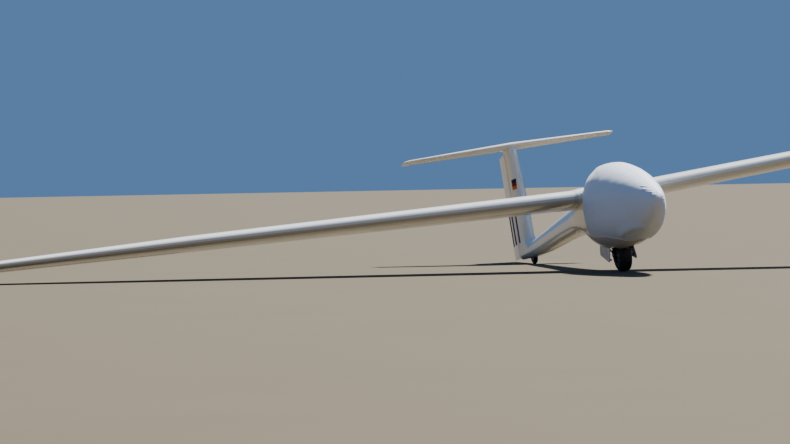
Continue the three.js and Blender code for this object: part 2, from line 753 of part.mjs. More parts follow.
// The tailplane's rows keep the elevator's hinge on one straight line from tip to tip.
const stabRows = [
  ...STAB_ROWS.slice(1).reverse().map((row) => ({ ...row, span: -row.span })),
  ...STAB_ROWS,
].map((row) => ({
  ...row,
  lead: -ELEVATOR_HINGE * row.chord * Math.cos(THREE.MathUtils.degToRad(STAB_INCIDENCE)),
  rise: ELEVATOR_HINGE * row.chord * Math.sin(THREE.MathUtils.degToRad(STAB_INCIDENCE)),
}));

const stabSurface = new LiftingSurface({
  table: stabRows,
  incidence: STAB_INCIDENCE,
  origin: new THREE.Vector3(0, ELEVATOR_HINGE_Y, STAB_Z - 12),
});

function makeStabilizer() {
  return stabSurface.split(stabSurface.solid(), {
    from: -STAB_HALF_SPAN + 70,
    to: STAB_HALF_SPAN - 70,
    hinge: ELEVATOR_HINGE,
    limit: LIMITS.elevator,
  });
}

// Assembly in the airframe's axes
const airframe = new THREE.Group();
airframe.name = 'airframe';

const tail = makeTail();
const stabilizer = makeStabilizer();
const stabSeat = stabSurface.solid().add(
  toSolid(toGeometry(stabSurface.solid()).translate(0, 0, -SEAT_GAP)),
);
airframe.add(piece('fuselage', makeFuselage(tail).subtract(stabSeat), WHITE));
airframe.add(piece('rudder', tail.rudder, WHITE));
airframe.add(piece('stabilizer', stabilizer.rest, WHITE));
airframe.add(piece('elevator', stabilizer.control, WHITE));
airframe.add(piece('canopy_cover', makeCover(), COVER_CLOTH));

for (const side of [-1, 1]) {
  const hand = side > 0 ? 'left' : 'right';
  const { surface, wing, aileron, airbrake } = makeWing(side);
  const skid = toSolid(makeTipSkid(surface)).subtract(
    toSolid(toGeometry(surface.solid()).translate(0, 0, -SEAT_GAP)),
  );
  airframe.add(piece(`wing_${hand}`, wing, WHITE));
  airframe.add(piece(`aileron_${hand}`, aileron, WHITE));
  airframe.add(piece(`airbrake_${hand}`, airbrake, BRIGHT_METAL));
  airframe.add(piece(`tip_skid_${hand}`, skid, DARK_METAL));
  airframe.add(piece(`gear_door_${hand}`, makeDoor(side), WHITE));
}

const gear = makeGear();
airframe.add(piece('gear_fork', gear.fork, DARK_METAL));
airframe.add(piece('gear_brace', gear.brace, DARK_METAL));
airframe.add(piece('main_axle', gear.axle, BRIGHT_METAL));
airframe.add(piece('brake_plate', gear.brakePlate, BRIGHT_METAL));
airframe.add(piece('tow_hook', makeTowHook(), DARK_METAL));

function addWheel(prefix, axleAt, tyre, hub, segments) {
  const wheel = new THREE.Group();
  wheel.position.set(0, axleAt.y, axleAt.z);
  wheel.add(piece(`${prefix}_tyre`, wheelOf(closedOutside(tyre), segments), RUBBER));
  wheel.add(piece(`${prefix}_hub`, wheelOf(closedOutside(hub), segments), BRIGHT_METAL));
  airframe.add(wheel);
}
addWheel('main', MAIN_AXLE, MAIN_TYRE, MAIN_HUB, 40);
addWheel('tail', TAIL_AXLE, TAIL_TYRE, TAIL_HUB, 28);
const tailAxleEnd = TAIL_SLOT_HALF_WIDTH - SEAT_GAP;
airframe.add(piece('tail_axle', rod(
  new THREE.Vector3(-tailAxleEnd, TAIL_AXLE.y, TAIL_AXLE.z),
  new THREE.Vector3(tailAxleEnd, TAIL_AXLE.y, TAIL_AXLE.z),
  8,
), BRIGHT_METAL));

// The lowest point of some meshes once the airframe is turned.
function lowest(names) {
  airframe.updateMatrixWorld(true);
  const point = new THREE.Vector3();
  const low = new THREE.Vector3(0, 0, Infinity);
  for (const name of names) {
    const mesh = airframe.getObjectByName(name);
    const positions = mesh.geometry.getAttribute('position');
    for (let i = 0; i < positions.count; i++) {
      point.fromBufferAttribute(positions, i).applyMatrix4(mesh.matrixWorld);
      if (point.z < low.z) low.copy(point);
    }
  }
  return low;
}

// Turns the airframe until both tyres and the right tip's skid touch one level plane.
function park() {
  const SETTLING_STEPS = 40;
  for (let i = 0; i < SETTLING_STEPS; i++) {
    const main = lowest(['main_tyre']);
    const back = lowest(['tail_tyre']);
    const tip = lowest(['tip_skid_right']);
    const pitch = Math.atan2(back.z - main.z, back.y - main.y);
    const roll = Math.atan2(tip.z - main.z, main.x - tip.x);
    airframe.rotation.x -= pitch;
    airframe.rotation.y -= roll;
  }
}
airframe.rotation.order = 'YXZ';
park();
airframe.updateMatrixWorld(true);

// The part's origin is the middle of its bounding box, on the ground.
const glider = new THREE.Group();
glider.name = 'sailplane';
const bounds = new THREE.Box3().setFromObject(airframe, true);
const middle = bounds.getCenter(new THREE.Vector3());
airframe.position.set(-middle.x, -middle.y, -bounds.min.z);
glider.add(airframe);

export default glider;
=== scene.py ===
# A single-seat sailplane, parked on its wheels and one wing tip, with a fabric cover over its nose.
# Lengths are in metres. Airframe points are x to the left wing, y aft from the nose tip, z up.
# Colours are linear red, green and blue.

import json
import math

import bmesh
import bpy
import numpy as np
from mathutils import Matrix, Vector, noise
from mathutils.bvhtree import BVHTree


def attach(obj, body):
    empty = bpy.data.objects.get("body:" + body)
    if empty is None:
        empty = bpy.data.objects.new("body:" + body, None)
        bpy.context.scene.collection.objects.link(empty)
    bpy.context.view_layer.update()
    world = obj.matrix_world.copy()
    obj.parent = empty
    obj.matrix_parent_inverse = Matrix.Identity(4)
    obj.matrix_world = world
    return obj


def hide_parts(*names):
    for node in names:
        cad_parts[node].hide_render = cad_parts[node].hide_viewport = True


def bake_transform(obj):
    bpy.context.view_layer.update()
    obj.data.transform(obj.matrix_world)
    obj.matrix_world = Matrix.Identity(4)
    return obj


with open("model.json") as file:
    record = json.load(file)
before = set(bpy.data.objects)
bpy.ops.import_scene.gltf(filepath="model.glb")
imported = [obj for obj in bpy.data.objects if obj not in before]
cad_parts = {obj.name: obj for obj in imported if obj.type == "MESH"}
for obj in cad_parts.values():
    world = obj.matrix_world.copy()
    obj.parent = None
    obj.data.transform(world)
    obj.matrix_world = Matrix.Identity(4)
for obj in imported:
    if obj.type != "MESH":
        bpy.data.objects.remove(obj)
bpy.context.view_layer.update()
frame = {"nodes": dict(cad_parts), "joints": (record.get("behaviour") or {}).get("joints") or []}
NODES = frame["nodes"]
JOINTS = {joint["name"]: joint for joint in frame["joints"]}
SIDES = (("left", 1), ("right", -1))

# Camera, at the photograph's viewing angle
CAMERA_EYE = Vector((-8.368, -35.438, 0.906))
VIEW_AZIMUTH = math.radians(10.351)
VIEW_DIP = math.radians(0.605)
CAMERA_ROLL = math.radians(-1.067)
LENS_MM = 157.1
SENSOR_MM = 36.0
CLIP_NEAR = 1.0
CLIP_FAR = 2000.0


def add_object(name, data):
    """A new object in the scene."""
    thing = bpy.data.objects.new(name, data)
    bpy.context.scene.collection.objects.link(thing)
    return thing


def make_camera():
    ahead = Vector((
        math.sin(VIEW_AZIMUTH) * math.cos(VIEW_DIP),
        math.cos(VIEW_AZIMUTH) * math.cos(VIEW_DIP),
        -math.sin(VIEW_DIP),
    ))
    level = ahead.cross(Vector((0, 0, 1))).normalized()
    right = Matrix.Rotation(-CAMERA_ROLL, 3, ahead) @ level
    up = right.cross(ahead)
    data = bpy.data.cameras.new("camera")
    data.sensor_width = SENSOR_MM
    data.lens = LENS_MM
    data.clip_start = CLIP_NEAR
    data.clip_end = CLIP_FAR
    camera = add_object("camera", data)
    turn = Matrix((right, up, -ahead)).transposed().to_4x4()
    camera.matrix_world = Matrix.Translation(CAMERA_EYE) @ turn
    bpy.context.scene.camera = camera


make_camera()

# The airframe's own axes, from the wheel's axle and the airbrake's slide
MAIN_AXLE_AT = Vector((0, 1.800, -0.352))
TAIL_AXLE_AT = Vector((0, 5.880, 0.018))
AXIS_X = Vector(JOINTS["main_wheel_spin"]["axis"]).normalized()
AXIS_Z = Vector(JOINTS["airbrake_left_slide"]["axis"]).normalized()
AXIS_Y = AXIS_Z.cross(AXIS_X).normalized()
TURN = Matrix((AXIS_X, AXIS_Y, AXIS_Z)).transposed()
ORIGIN = Vector(JOINTS["main_wheel_spin"]["pos_m"]) - TURN @ MAIN_AXLE_AT


def to_row(points):
    """Airframe points, in the row frame."""
    return np.asarray(points, float) @ np.array(TURN).T + np.array(ORIGIN)


# Shader building

class Shader:
    """A material's node tree, with short ways to add and join its nodes."""

    # The mix node's sockets for colours, by place because it uses their names more than once
    MIX_FIRST, MIX_SECOND, MIX_RESULT = 6, 7, 2

    def __init__(self, name):
        self.material = bpy.data.materials.new(name)
        self.material.use_nodes = True
        self.tree = self.material.node_tree
        self.surface = self.tree.nodes["Principled BSDF"]

    def join(self, value, socket):
        """Link an output to a socket, or set the socket's own value or opaque colour."""
        if isinstance(value, bpy.types.NodeSocket):
            self.tree.links.new(value, socket)
        else:
            socket.default_value = (*value, 1.0) if socket.type == "RGBA" else value

    def add(self, kind, inputs, **settings):
        """The outputs of a new node. Its inputs, by name or place, are values or other outputs."""
        node = self.tree.nodes.new(kind)
        for key, value in settings.items():
            setattr(node, key, value)
        for key, value in inputs.items():
            self.join(value, node.inputs[key])
        return node.outputs

    def math(self, operation, *values):
        return self.add("ShaderNodeMath", dict(enumerate(values)), operation=operation)[0]

    def vector(self, operation, *values):
        return self.add("ShaderNodeVectorMath", dict(enumerate(values)), operation=operation)

    def times(self, first, *others):
        for other in others:
            first = self.math("MULTIPLY", first, other)
        return first

    def spread(self, share, low, high):
        """low where the share is 0, high where it is 1."""
        return self.math("MULTIPLY_ADD", share, high - low, low)

    def ramp(self, value, low, high):
        """0 below low, 1 above high, or the other way round where low is the larger."""
        inputs = {"Value": value, "From Min": low, "From Max": high}
        return self.add("ShaderNodeMapRange", inputs, interpolation_type="SMOOTHSTEP")["Result"]

    def inside(self, place, low, high):
        """1 inside a box of airframe points, 0 outside."""
        share = 1.0
        for value, bottom, top in zip(place, low, high):
            share = self.times(share, self.math("GREATER_THAN", value, bottom))
            share = self.times(share, self.math("LESS_THAN", value, top))
        return share

    def place(self):
        """Where the surface is, in row coordinates that ride with the piece."""
        return self.add("ShaderNodeTexCoord", {})["Object"]

    def airframe(self):
        """Where the surface is on the airframe: x, y and z."""
        offset = self.vector("SUBTRACT", self.place(), ORIGIN)["Vector"]
        return [self.vector("DOT_PRODUCT", offset, axis)["Value"] for axis in (AXIS_X, AXIS_Y, AXIS_Z)]

    def noise(self, scale, detail, roughness=0.5, low=None, high=None):
        """A cloudy share from 0 to 1. With low and high it becomes patches with soft edges."""
        inputs = {"Vector": self.place(), "Scale": scale, "Detail": detail, "Roughness": roughness}
        share = self.add("ShaderNodeTexNoise", inputs)["Fac"]
        return share if low is None else self.ramp(share, low, high)

    def mix(self, share, first, second, strength=1.0):
        """From the first colour to the second, which the strength can hold back."""
        if strength < 1.0:
            share = self.times(share, strength)
        inputs = {0: share, self.MIX_FIRST: first, self.MIX_SECOND: second}
        return self.add("ShaderNodeMix", inputs, data_type="RGBA")[self.MIX_RESULT]

    def bump(self, height, distance, strength, under=None):
        inputs = {"Height": height, "Distance": distance, "Strength": strength}
        if under is not None:
            inputs["Normal"] = under
        return self.add("ShaderNodeBump", inputs)["Normal"]

    def set(self, **values):
        names = {
            "color": "Base Color", "coat": "Coat Weight", "sheen": "Sheen Weight",
            "specular": "Specular IOR Level",
        }
        for key, value in values.items():
            name = names.get(key, key.replace("_", " ").title())
            self.join(value, self.surface.inputs[name])
        return self.material


# Gelcoat of the airframe

WHITE = (0.86, 0.86, 0.85)
AGED_WHITE = (0.76, 0.74, 0.69)
GRIME = (0.30, 0.26, 0.20)
GLOSS = (0.14, 0.30)  # the least and greatest roughness of clean gelcoat


def make_gelcoat(name, paint=None, rougher=0.0):
    """White gelcoat, slightly wavy and faintly stained. paint(shader, colour) puts more over it."""
    shader = Shader(name)
    stain = shader.noise(scale=0.9, detail=4.0, low=0.45, high=0.75)
    colour = shader.mix(stain, WHITE, AGED_WHITE, strength=0.14)
    haze = shader.noise(scale=6.0, detail=5.0)
    wave = shader.bump(shader.noise(scale=1.6, detail=2.0), distance=0.004, strength=0.35)
    grain = shader.noise(scale=260.0, detail=2.0)
    return shader.set(
        color=paint(shader, colour) if paint else colour,
        roughness=shader.spread(haze, *(end + rougher for end in GLOSS)),
        normal=shader.bump(grain, distance=0.0002, strength=0.06, under=wave),
        coat=0.35,
        coat_roughness=0.08,
    )


# The wing's sections: span, leading edge behind the root's, chord, thickness share, rise
WING_TABLE = [
    (0.330, 0.000, 0.900, 0.178, 0.000),
    (4.250, 0.020, 0.755, 0.170, 0.152),
    (7.050, 0.150, 0.450, 0.145, 0.248),
    (7.330, 0.206, 0.352, 0.135, 0.256),
]
WING_LEAD_Y = 1.950
SPECK_REACH = 0.055  # how far behind the leading edge insects stick
SPECK_BROWN = (0.16, 0.12, 0.07)


def paint_insects(shader, colour):
    """Small dried insects along the wing's leading edge."""
    across, along, _ = shader.airframe()
    span = shader.math("ABSOLUTE", across)
    behind = shader.math("SUBTRACT", along, WING_LEAD_Y)
    for (inner, lead, *_), (outer, end, *_) in zip(WING_TABLE, WING_TABLE[1:]):
        back = shader.times(shader.ramp(span, inner, outer), end - lead)
        behind = shader.math("SUBTRACT", behind, back)
    specks = shader.noise(scale=120.0, detail=3.0, roughness=0.6, low=0.66, high=0.72)
    share = shader.times(shader.ramp(behind, SPECK_REACH, 0.0), specks)
    return shader.mix(share, colour, SPECK_BROWN, strength=0.75)


# Two opposite corners of each wheel's bay
WHEEL_BAYS = (
    ((-0.1125, 1.588, -0.60), (0.1125, 2.222, -0.128)),
    ((-0.0335, 5.755, -0.20), (0.0335, 6.005, 0.130)),
)
# Painted shade: near-black colour for the inside of each wheel bay
BAY_PAINTED_SHADE = ((0.035, 0.036, 0.040), (0.060, 0.058, 0.055))
# Dirt on the belly: its half width, the y where it starts, is thickest and ends, and its heights
SPRAY_HALF_X = 0.16
SPRAY_Y = (1.9, 2.1, 3.6)
SPRAY_Z = (0.10, -0.02)


def paint_belly(shader, colour):
    """Dirt that the wheel has thrown along the belly, and painted shade inside the wheel bays."""
    place = shader.airframe()
    across, along, height = place
    start, peak, end = SPRAY_Y
    middle = shader.ramp(shader.math("ABSOLUTE", across), SPRAY_HALF_X, 0.0)
    length = shader.times(shader.ramp(along, end, peak), shader.ramp(along, start, peak))
    spots = shader.noise(scale=14.0, detail=6.0, roughness=0.7, low=0.42, high=0.66)
    dirt = shader.times(middle, length, shader.ramp(height, *SPRAY_Z), spots)
    colour = shader.mix(dirt, colour, GRIME, strength=0.55)
    # Painted shade inside the wheel bays, near black with a faint pattern
    dark = shader.mix(shader.noise(scale=30.0, detail=4.0), *BAY_PAINTED_SHADE)
    for low, high in WHEEL_BAYS:
        colour = shader.mix(shader.inside(place, low, high), colour, dark)
    return colour


# Painted shade: a grey film that darkens the gear doors
DOOR_PAINTED_SHADE = (0.36, 0.35, 0.33)
DIRT_ROUGHNESS = 0.25  # how much rougher the dirty doors are than clean gelcoat


def paint_doors(shader, colour):
    """A grey film of painted shade over most of the door, with thicker splashes of dirt from the wheel.
    """
    # Painted shade over most of each door; the splashes below are dirt
    thin = shader.noise(scale=5.0, detail=5.0, roughness=0.6, low=0.25, high=0.60)
    colour = shader.mix(thin, colour, DOOR_PAINTED_SHADE, strength=0.85)
    splash = shader.noise(scale=38.0, detail=5.0, roughness=0.7, low=0.56, high=0.66)
    return shader.mix(splash, colour, GRIME, strength=0.6)


# The airbrake's cap lies above a plane that rises along the span
CAP_FOOT_Z = 0.3445
CAP_RISE = 0.0356
BLADE_GREYS = ((0.48, 0.49, 0.51), (0.64, 0.64, 0.65))


def paint_blade(shader, colour):
    """A bare aluminium blade below the white cap strip."""
    across, _, height = shader.airframe()
    edge = shader.math("MULTIPLY_ADD", shader.math("ABSOLUTE", across), CAP_RISE, CAP_FOOT_Z)
    blade = shader.mix(shader.noise(scale=60.0, detail=5.0, roughness=0.6), *BLADE_GREYS)
    return shader.mix(shader.math("GREATER_THAN", height, edge), blade, colour)


# Cloth, films, rubber and metal

COVER_COLOURS = ((0.69, 0.76, 0.90), (0.56, 0.61, 0.69))


def make_cover_cloth():
    """Pale coated cloth with faint stains, a fine weave and thicker threads here and there."""
    shader = Shader("cover_cloth")
    stain = shader.noise(scale=2.2, detail=5.0, roughness=0.6, low=0.42, high=0.8)
    slub = shader.noise(scale=90.0, detail=3.0)
    weave = shader.bump(shader.noise(scale=700.0, detail=2.0), distance=0.0004, strength=0.25)
    return shader.set(
        color=shader.mix(stain, *COVER_COLOURS, strength=0.22),
        roughness=shader.spread(slub, low=0.48, high=0.66),
        normal=shader.bump(slub, distance=0.0008, strength=0.25, under=weave),
        sheen=0.25,
        sheen_roughness=0.4,
    )


# The fin's patch of three plain bands, from the top: the colour, and the height of its lower edge
PATCH_BANDS = (
    ((0.012, 0.018, 0.036), 0.868),
    ((0.270, 0.018, 0.012), 0.829),
    ((0.640, 0.170, 0.022), 0.780),
)
BAR_COLOURS = ((0.020, 0.032, 0.105), (0.030, 0.042, 0.120))
FADED_FILM = (0.35, 0.35, 0.36)


def paint_bands(shader):
    height = shader.airframe()[2]
    colour = PATCH_BANDS[-1][0]
    for band, low in reversed(PATCH_BANDS[:-1]):
        colour = shader.mix(shader.math("GREATER_THAN", height, low), colour, band)
    return colour


def paint_bars(shader):
    return shader.mix(shader.noise(scale=5.0, detail=4.0), *BAR_COLOURS)


def make_film(name, paint):
    """Matt film, faded in patches."""
    shader = Shader(name)
    fade = shader.noise(scale=34.0, detail=5.0, roughness=0.6, low=0.5, high=0.8)
    return shader.set(
        color=shader.mix(fade, paint(shader), FADED_FILM, strength=0.12),
        roughness=0.75,
        normal=shader.bump(shader.noise(scale=220.0, detail=3.0), distance=0.0002, strength=0.3),
        specular=0.08,
    )


def make_finish(name, colours, pattern, relief, roughness, strength=1.0, grain=None, **values):
    """A pattern from one colour to another. Its relief follows the grain, or else the pattern.

    The pattern and the grain are what Shader.noise takes, and the relief is what Shader.bump takes.
    """
    shader = Shader(name)
    share = shader.noise(*pattern)
    height = shader.noise(*grain) if grain else share
    return shader.set(
        color=shader.mix(share, *colours, strength=strength),
        roughness=shader.spread(share, *roughness) if isinstance(roughness, tuple) else roughness,
        normal=shader.bump(height, *relief),
        **values,
    )


GELCOAT = make_gelcoat("gelcoat_skin")
CLOTH = make_cover_cloth()
PATCH_FILM = make_film("patch_film", paint_bands)
BAR_FILM = make_film("bar_film", paint_bars)
HEM_CLOTH = make_finish(
    "cover_hem_cloth", colours=((0.84, 0.84, 0.86), (0.93, 0.93, 0.94)), pattern=(160.0, 2.0),
    relief=(0.001, 0.4), roughness=0.8, sheen=0.2, sheen_roughness=0.5,
)
THREAD = make_finish(
    "sewing_thread", colours=((0.50, 0.51, 0.54), (0.70, 0.70, 0.72)), pattern=(900.0, 2.0),
    relief=(0.0003, 0.4), roughness=0.7,
)
# Thin white plastic tape, a little yellowed
TAPE = make_finish(
    "seal_tape", colours=((0.70, 0.71, 0.72), (0.60, 0.59, 0.55)), pattern=(9.0, 5.0, 0.6),
    grain=(45.0, 3.0), relief=(0.0004, 0.3), roughness=(0.22, 0.42),
)
DUSTY_RUBBER = {
    "colours": ((0.013, 0.013, 0.014), (0.13, 0.11, 0.085)), "pattern": (24.0, 6.0, 0.65, 0.46, 0.72),
    "grain": (320.0, 3.0), "relief": (0.0005, 0.5), "roughness": (0.60, 0.80),
}
RUBBER = make_finish("tyre_rubber", **DUSTY_RUBBER, strength=0.34)
SKID_RUBBER = make_finish("skid_rubber", **DUSTY_RUBBER, strength=0.6)
DARK_METAL = make_finish(
    "black_steel", colours=((0.020, 0.021, 0.024), (0.10, 0.095, 0.09)), strength=0.5,
    pattern=(35.0, 6.0, 0.6, 0.58, 0.75), grain=(140.0, 3.0), relief=(0.0004, 0.25),
    roughness=(0.38, 0.63), metallic=0.55,
)
BRIGHT_METAL = make_finish(
    "bare_aluminium", colours=((0.42, 0.43, 0.45), (0.60, 0.60, 0.61)), pattern=(60.0, 5.0, 0.6),
    relief=(0.0003, 0.2), roughness=(0.28, 0.48), metallic=0.92,
)

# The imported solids' materials, by their slot, or by their name where they have their own
SLOT_MATERIALS = {
    "gelcoat": GELCOAT,
    "cloth": CLOTH,
    "tread": RUBBER,
    "dark_metal": DARK_METAL,
    "bright_metal": BRIGHT_METAL,
}
NODE_MATERIALS = {"fuselage": make_gelcoat("fuselage_skin", paint_belly)}
for pair, finish in (
    ("airbrake", make_gelcoat("airbrake_skin", paint_blade)),
    ("wing", make_gelcoat("wing_skin", paint_insects)),
    ("gear_door", make_gelcoat("door_skin", paint_doors, rougher=DIRT_ROUGHNESS)),
    ("tip_skid", SKID_RUBBER),
):
    for side_name, _ in SIDES:
        NODE_MATERIALS[f"{pair}_{side_name}"] = finish

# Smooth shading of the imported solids, whose triangles are joined and whose steep edges stay sharp
SHARP_ANGLE = math.radians(32)
WELD_DISTANCE = 0.00002


def make_smoother():
    group = bpy.data.node_groups.new("smooth_skin", "GeometryNodeTree")
    for way in ("INPUT", "OUTPUT"):
        group.interface.new_socket("Geometry", in_out=way, socket_type="NodeSocketGeometry")
    chain = [group.nodes.new(kind) for kind in (
        "NodeGroupInput",
        "GeometryNodeMergeByDistance",
        "GeometryNodeRemoveAttribute",
        "GeometryNodeSetShadeSmooth",
        "GeometryNodeSetShadeSmooth",
        "GeometryNodeSetShadeSmooth",
        "NodeGroupOutput",
    )]
    for earlier, later in zip(chain, chain[1:]):
        group.links.new(earlier.outputs[0], later.inputs[0])
    _, weld, plain, _, smooth_edges, sharp_edges, _ = chain
    weld.inputs["Distance"].default_value = WELD_DISTANCE
    plain.inputs["Name"].default_value = "custom_normal"
    smooth_edges.domain = "EDGE"
    sharp_edges.domain = "EDGE"
    sharp_edges.inputs["Shade Smooth"].default_value = False
    angle = group.nodes.new("GeometryNodeInputMeshEdgeAngle")
    steep = group.nodes.new("FunctionNodeCompare")
    steep.inputs["B"].default_value = SHARP_ANGLE
    group.links.new(angle.outputs["Unsigned Angle"], steep.inputs["A"])
    group.links.new(steep.outputs[0], sharp_edges.inputs["Selection"])
    return group


def dress_nodes():
    smoother = make_smoother()
    for name, node in NODES.items():
        slot = node.material_slots[0]
        slot.material = NODE_MATERIALS.get(name) or SLOT_MATERIALS[slot.material.name]
        node.modifiers.new("smooth_skin", "NODES").node_group = smoother
        node.modifiers.new("weighted_normals", "WEIGHTED_NORMAL").keep_sharp = True


dress_nodes()

# Building pieces

MERGE_DISTANCE = 0.00001
LOOP_SIDES = 8
X, Y, Z = np.eye(3)  # left, aft and up on the airframe


def add_piece(name, points, faces, material, slot, body="airframe", smooth=True):
    """A mesh piece from airframe points, which rides on a body, or on none where no body is given."""
    mesh = bpy.data.meshes.new(name)
    mesh.from_pydata(to_row(points).tolist(), [], [list(face) for face in faces])
    build = bmesh.new()
    build.from_mesh(mesh)
    bmesh.ops.remove_doubles(build, verts=build.verts, dist=MERGE_DISTANCE)
    bmesh.ops.recalc_face_normals(build, faces=build.faces)
    build.to_mesh(mesh)
    build.free()
    if smooth:
        mesh.shade_smooth()
        mesh.set_sharp_from_angle(angle=SHARP_ANGLE)
    mesh.materials.append(material)
    piece = add_object(name, mesh)
    if body:
        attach(piece, body)
    return piece


def grid_faces(rows, columns, wrap_rows=False, wrap_columns=False):
    """Quads over a grid of points numbered row by row."""
    faces = []
    for r in range(rows if wrap_rows else rows - 1):
        here, below = r * columns, (r + 1) % rows * columns
        for c in range(columns if wrap_columns else columns - 1):
            right = (c + 1) % columns
            faces.append((here + c, here + right, below + right, below + c))
    return faces


def closed_faces(rows, columns):
    """The faces of a tube of rings that is closed at both ends."""
    last = (rows - 1) * columns
    ends = [tuple(reversed(range(columns))), tuple(range(last, last + columns))]
    return grid_faces(rows, columns, wrap_columns=True) + ends


def unit(vectors):
    return vectors / np.linalg.norm(vectors, axis=-1, keepdims=True)


def slab(points, outward, lifts):
    """A thin closed plate over a grid of points, between two lifts in the outward direction."""
    normals = unit(np.cross(np.gradient(points, axis=0), np.gradient(points, axis=1)))
    normals = normals * np.sign(np.sum(normals * outward, axis=-1, keepdims=True))
    return slab_between(*(points + normals * lift for lift in lifts))


def slab_between(low, high):
    """A thin closed plate between two grids of points: its points and faces."""
    points = np.concatenate([low, high[:, ::-1]], axis=1)
    rows, columns = points.shape[:2]
    faces = grid_faces(rows, columns, wrap_columns=True)
    for start in (0, (rows - 1) * columns):
        end = start + columns - 1
        faces += [(start + c, start + c + 1, end - c - 1, end - c) for c in range(columns // 2 - 1)]
    return points.reshape(-1, 3), faces


def joined(parts):
    """Several (points, faces) as one."""
    points, faces, base = [], [], 0
    for part_points, part_faces in parts:
        points.append(np.asarray(part_points, float).reshape(-1, 3))
        faces += [tuple(base + i for i in face) for face in part_faces]
        base += len(points[-1])
    return np.vstack(points), faces


def ring_angles(count):
    return np.linspace(0, 2 * math.pi, count, endpoint=False)


def circle(count, first, second):
    """Directions round a circle, from the first direction towards the second."""
    angles = ring_angles(count)[:, None]
    return np.cos(angles) * first + np.sin(angles) * second


def swept(path, sides, ups, half_wide, half_thick):
    """A closed loop of oval section along a path, with the axes of its section at each point."""
    angles = ring_angles(LOOP_SIDES)
    wide, thick = (np.broadcast_to(half, len(path))[:, None] for half in (half_wide, half_thick))
    across, up = np.cos(angles) * wide, np.sin(angles) * thick
    rings = path[:, None] + sides[:, None] * across[..., None] + ups[:, None] * up[..., None]
    return rings.reshape(-1, 3), grid_faces(*rings.shape[:2], wrap_rows=True, wrap_columns=True)


def turned(profile, centre, segments):
    """A ring about the x axis through centre, from a closed profile of radius and x."""
    radius, x = profile.T[..., None]
    points = np.array(centre) + x * X + radius * circle(segments, Y, Z)[:, None]
    return points.reshape(-1, 3), grid_faces(*points.shape[:2], wrap_rows=True, wrap_columns=True)


def smoothstep(low, high, value):
    share = np.clip((value - low) / (high - low), 0, 1)
    return share * share * (3 - 2 * share)


def curve(t, start, end, start_slope, end_slope):
    """A smooth curve's points at shares t of the way from start to end."""
    return (
        (2 * t**3 - 3 * t**2 + 1) * start + (t**3 - 2 * t**2 + t) * start_slope
        + (3 * t**2 - 2 * t**3) * end + (t**3 - t**2) * end_slope
    )


def crowded(start, end, count, power):
    """Values from start to end, which lie closer together at the start."""
    return start + (end - start) * np.linspace(0, 1, count) ** power


def even_path(points, step):
    """The same line with points a step apart, and how far along each lies."""
    far = np.concatenate([[0], np.cumsum(np.linalg.norm(np.diff(points, axis=0), axis=1))])
    count = max(2, round(far[-1] / step) + 1)
    stops = np.linspace(0, far[-1], count)
    return np.stack([np.interp(stops, far, points[:, i]) for i in range(3)], 1), stops


# The nose's shape: y, half width, top, bottom and height of the widest point
NOSE_SECTIONS = np.array([
    (-0.004, 0.000, 0.020, 0.020, 0.020),
    (0.000, 0.014, 0.034, 0.006, 0.020),
    (0.035, 0.050, 0.076, -0.053, 0.020),
    (0.120, 0.086, 0.127, -0.111, 0.020),
    (0.300, 0.136, 0.202, -0.185, 0.024),
    (0.550, 0.191, 0.291, -0.250, 0.034),
    (0.850, 0.246, 0.388, -0.292, 0.048),
    (1.180, 0.284, 0.474, -0.312, 0.060),
    (1.500, 0.300, 0.537, -0.316, 0.070),
    (1.800, 0.297, 0.550, -0.302, 0.080),
    (2.100, 0.275, 0.498, -0.248, 0.092),
])
UPPER_POWER = 2 / 2.28
LOWER_POWER = 2 / 2.30
SLOPE_STEP = 0.002


def nose_section(y):
    """Half width, top, bottom and widest height at y, on smooth curves through the table's rows."""
    stops = np.sqrt(NOSE_SECTIONS[:, 0] - NOSE_SECTIONS[0, 0])
    values = NOSE_SECTIONS[:, 1:]
    slopes = np.gradient(values, stops, axis=0)
    at = np.sqrt(np.maximum(y - NOSE_SECTIONS[0, 0], 0))
    i = np.clip(np.searchsorted(stops, at, side="right") - 1, 0, len(stops) - 2)
    gap = (stops[i + 1] - stops[i])[..., None]
    t = (at - stops[i])[..., None] / gap
    return np.moveaxis(curve(t, values[i], values[i + 1], gap * slopes[i], gap * slopes[i + 1]), -1, 0)


def nose_point(y, turn, lift):
    """A point over the nose's skin at y, at an angle from the top, and at a height off the skin."""
    y, turn, lift = np.broadcast_arrays(np.asarray(y, float), turn, lift)
    half, top, bottom, wide = nose_section(y)
    slope = (nose_section(y + SLOPE_STEP)[0] - half) / SLOPE_STEP
    outward = 1 / np.sqrt(1 + slope**2)
    forward = -slope * outward
    across, up = np.sin(turn), np.cos(turn)
    upper = up > 0
    power = np.where(upper, UPPER_POWER, LOWER_POWER)
    reach = np.where(upper, top - wide, wide - bottom)
    x = np.sign(across) * np.abs(across) ** power * (half + lift * outward)
    z = wide + np.sign(up) * np.abs(up) ** power * (reach + lift * outward)
    return np.stack([x, y + lift * forward, z], -1)


# The cover's cloth

COVER_END_Y = 1.880
# The lower edge in side view: y, z
HEM = np.array([
    (0.740, -0.3000),
    (0.775, -0.2850),
    (0.870, -0.2875),
    (0.945, -0.2860),
    (1.037, -0.2580),
    (1.062, -0.2420),
    (1.318, -0.1850),
    (1.829, -0.1210),
    (COVER_END_Y, -0.1150),
])
HEM_SMOOTHING = np.linspace(-0.03, 0.03, 5)
CLOTH_LIFT = 0.0085  # the cloth's outer side, off the fuselage's skin
CLOTH_THICK = 0.0022
LEAST_LIFT = CLOTH_THICK + 0.0012
HEM_LIFT = 0.0045
COVER_ROWS = 240
COVER_COLUMNS = 200
ROW_CROWDING = 1.45


def hem_height(y):
    """The hem's height at y, with the table's corners rounded."""
    around = [np.interp(y + shift, HEM[:, 0], HEM[:, 1]) for shift in HEM_SMOOTHING]
    return np.mean(around, axis=0)


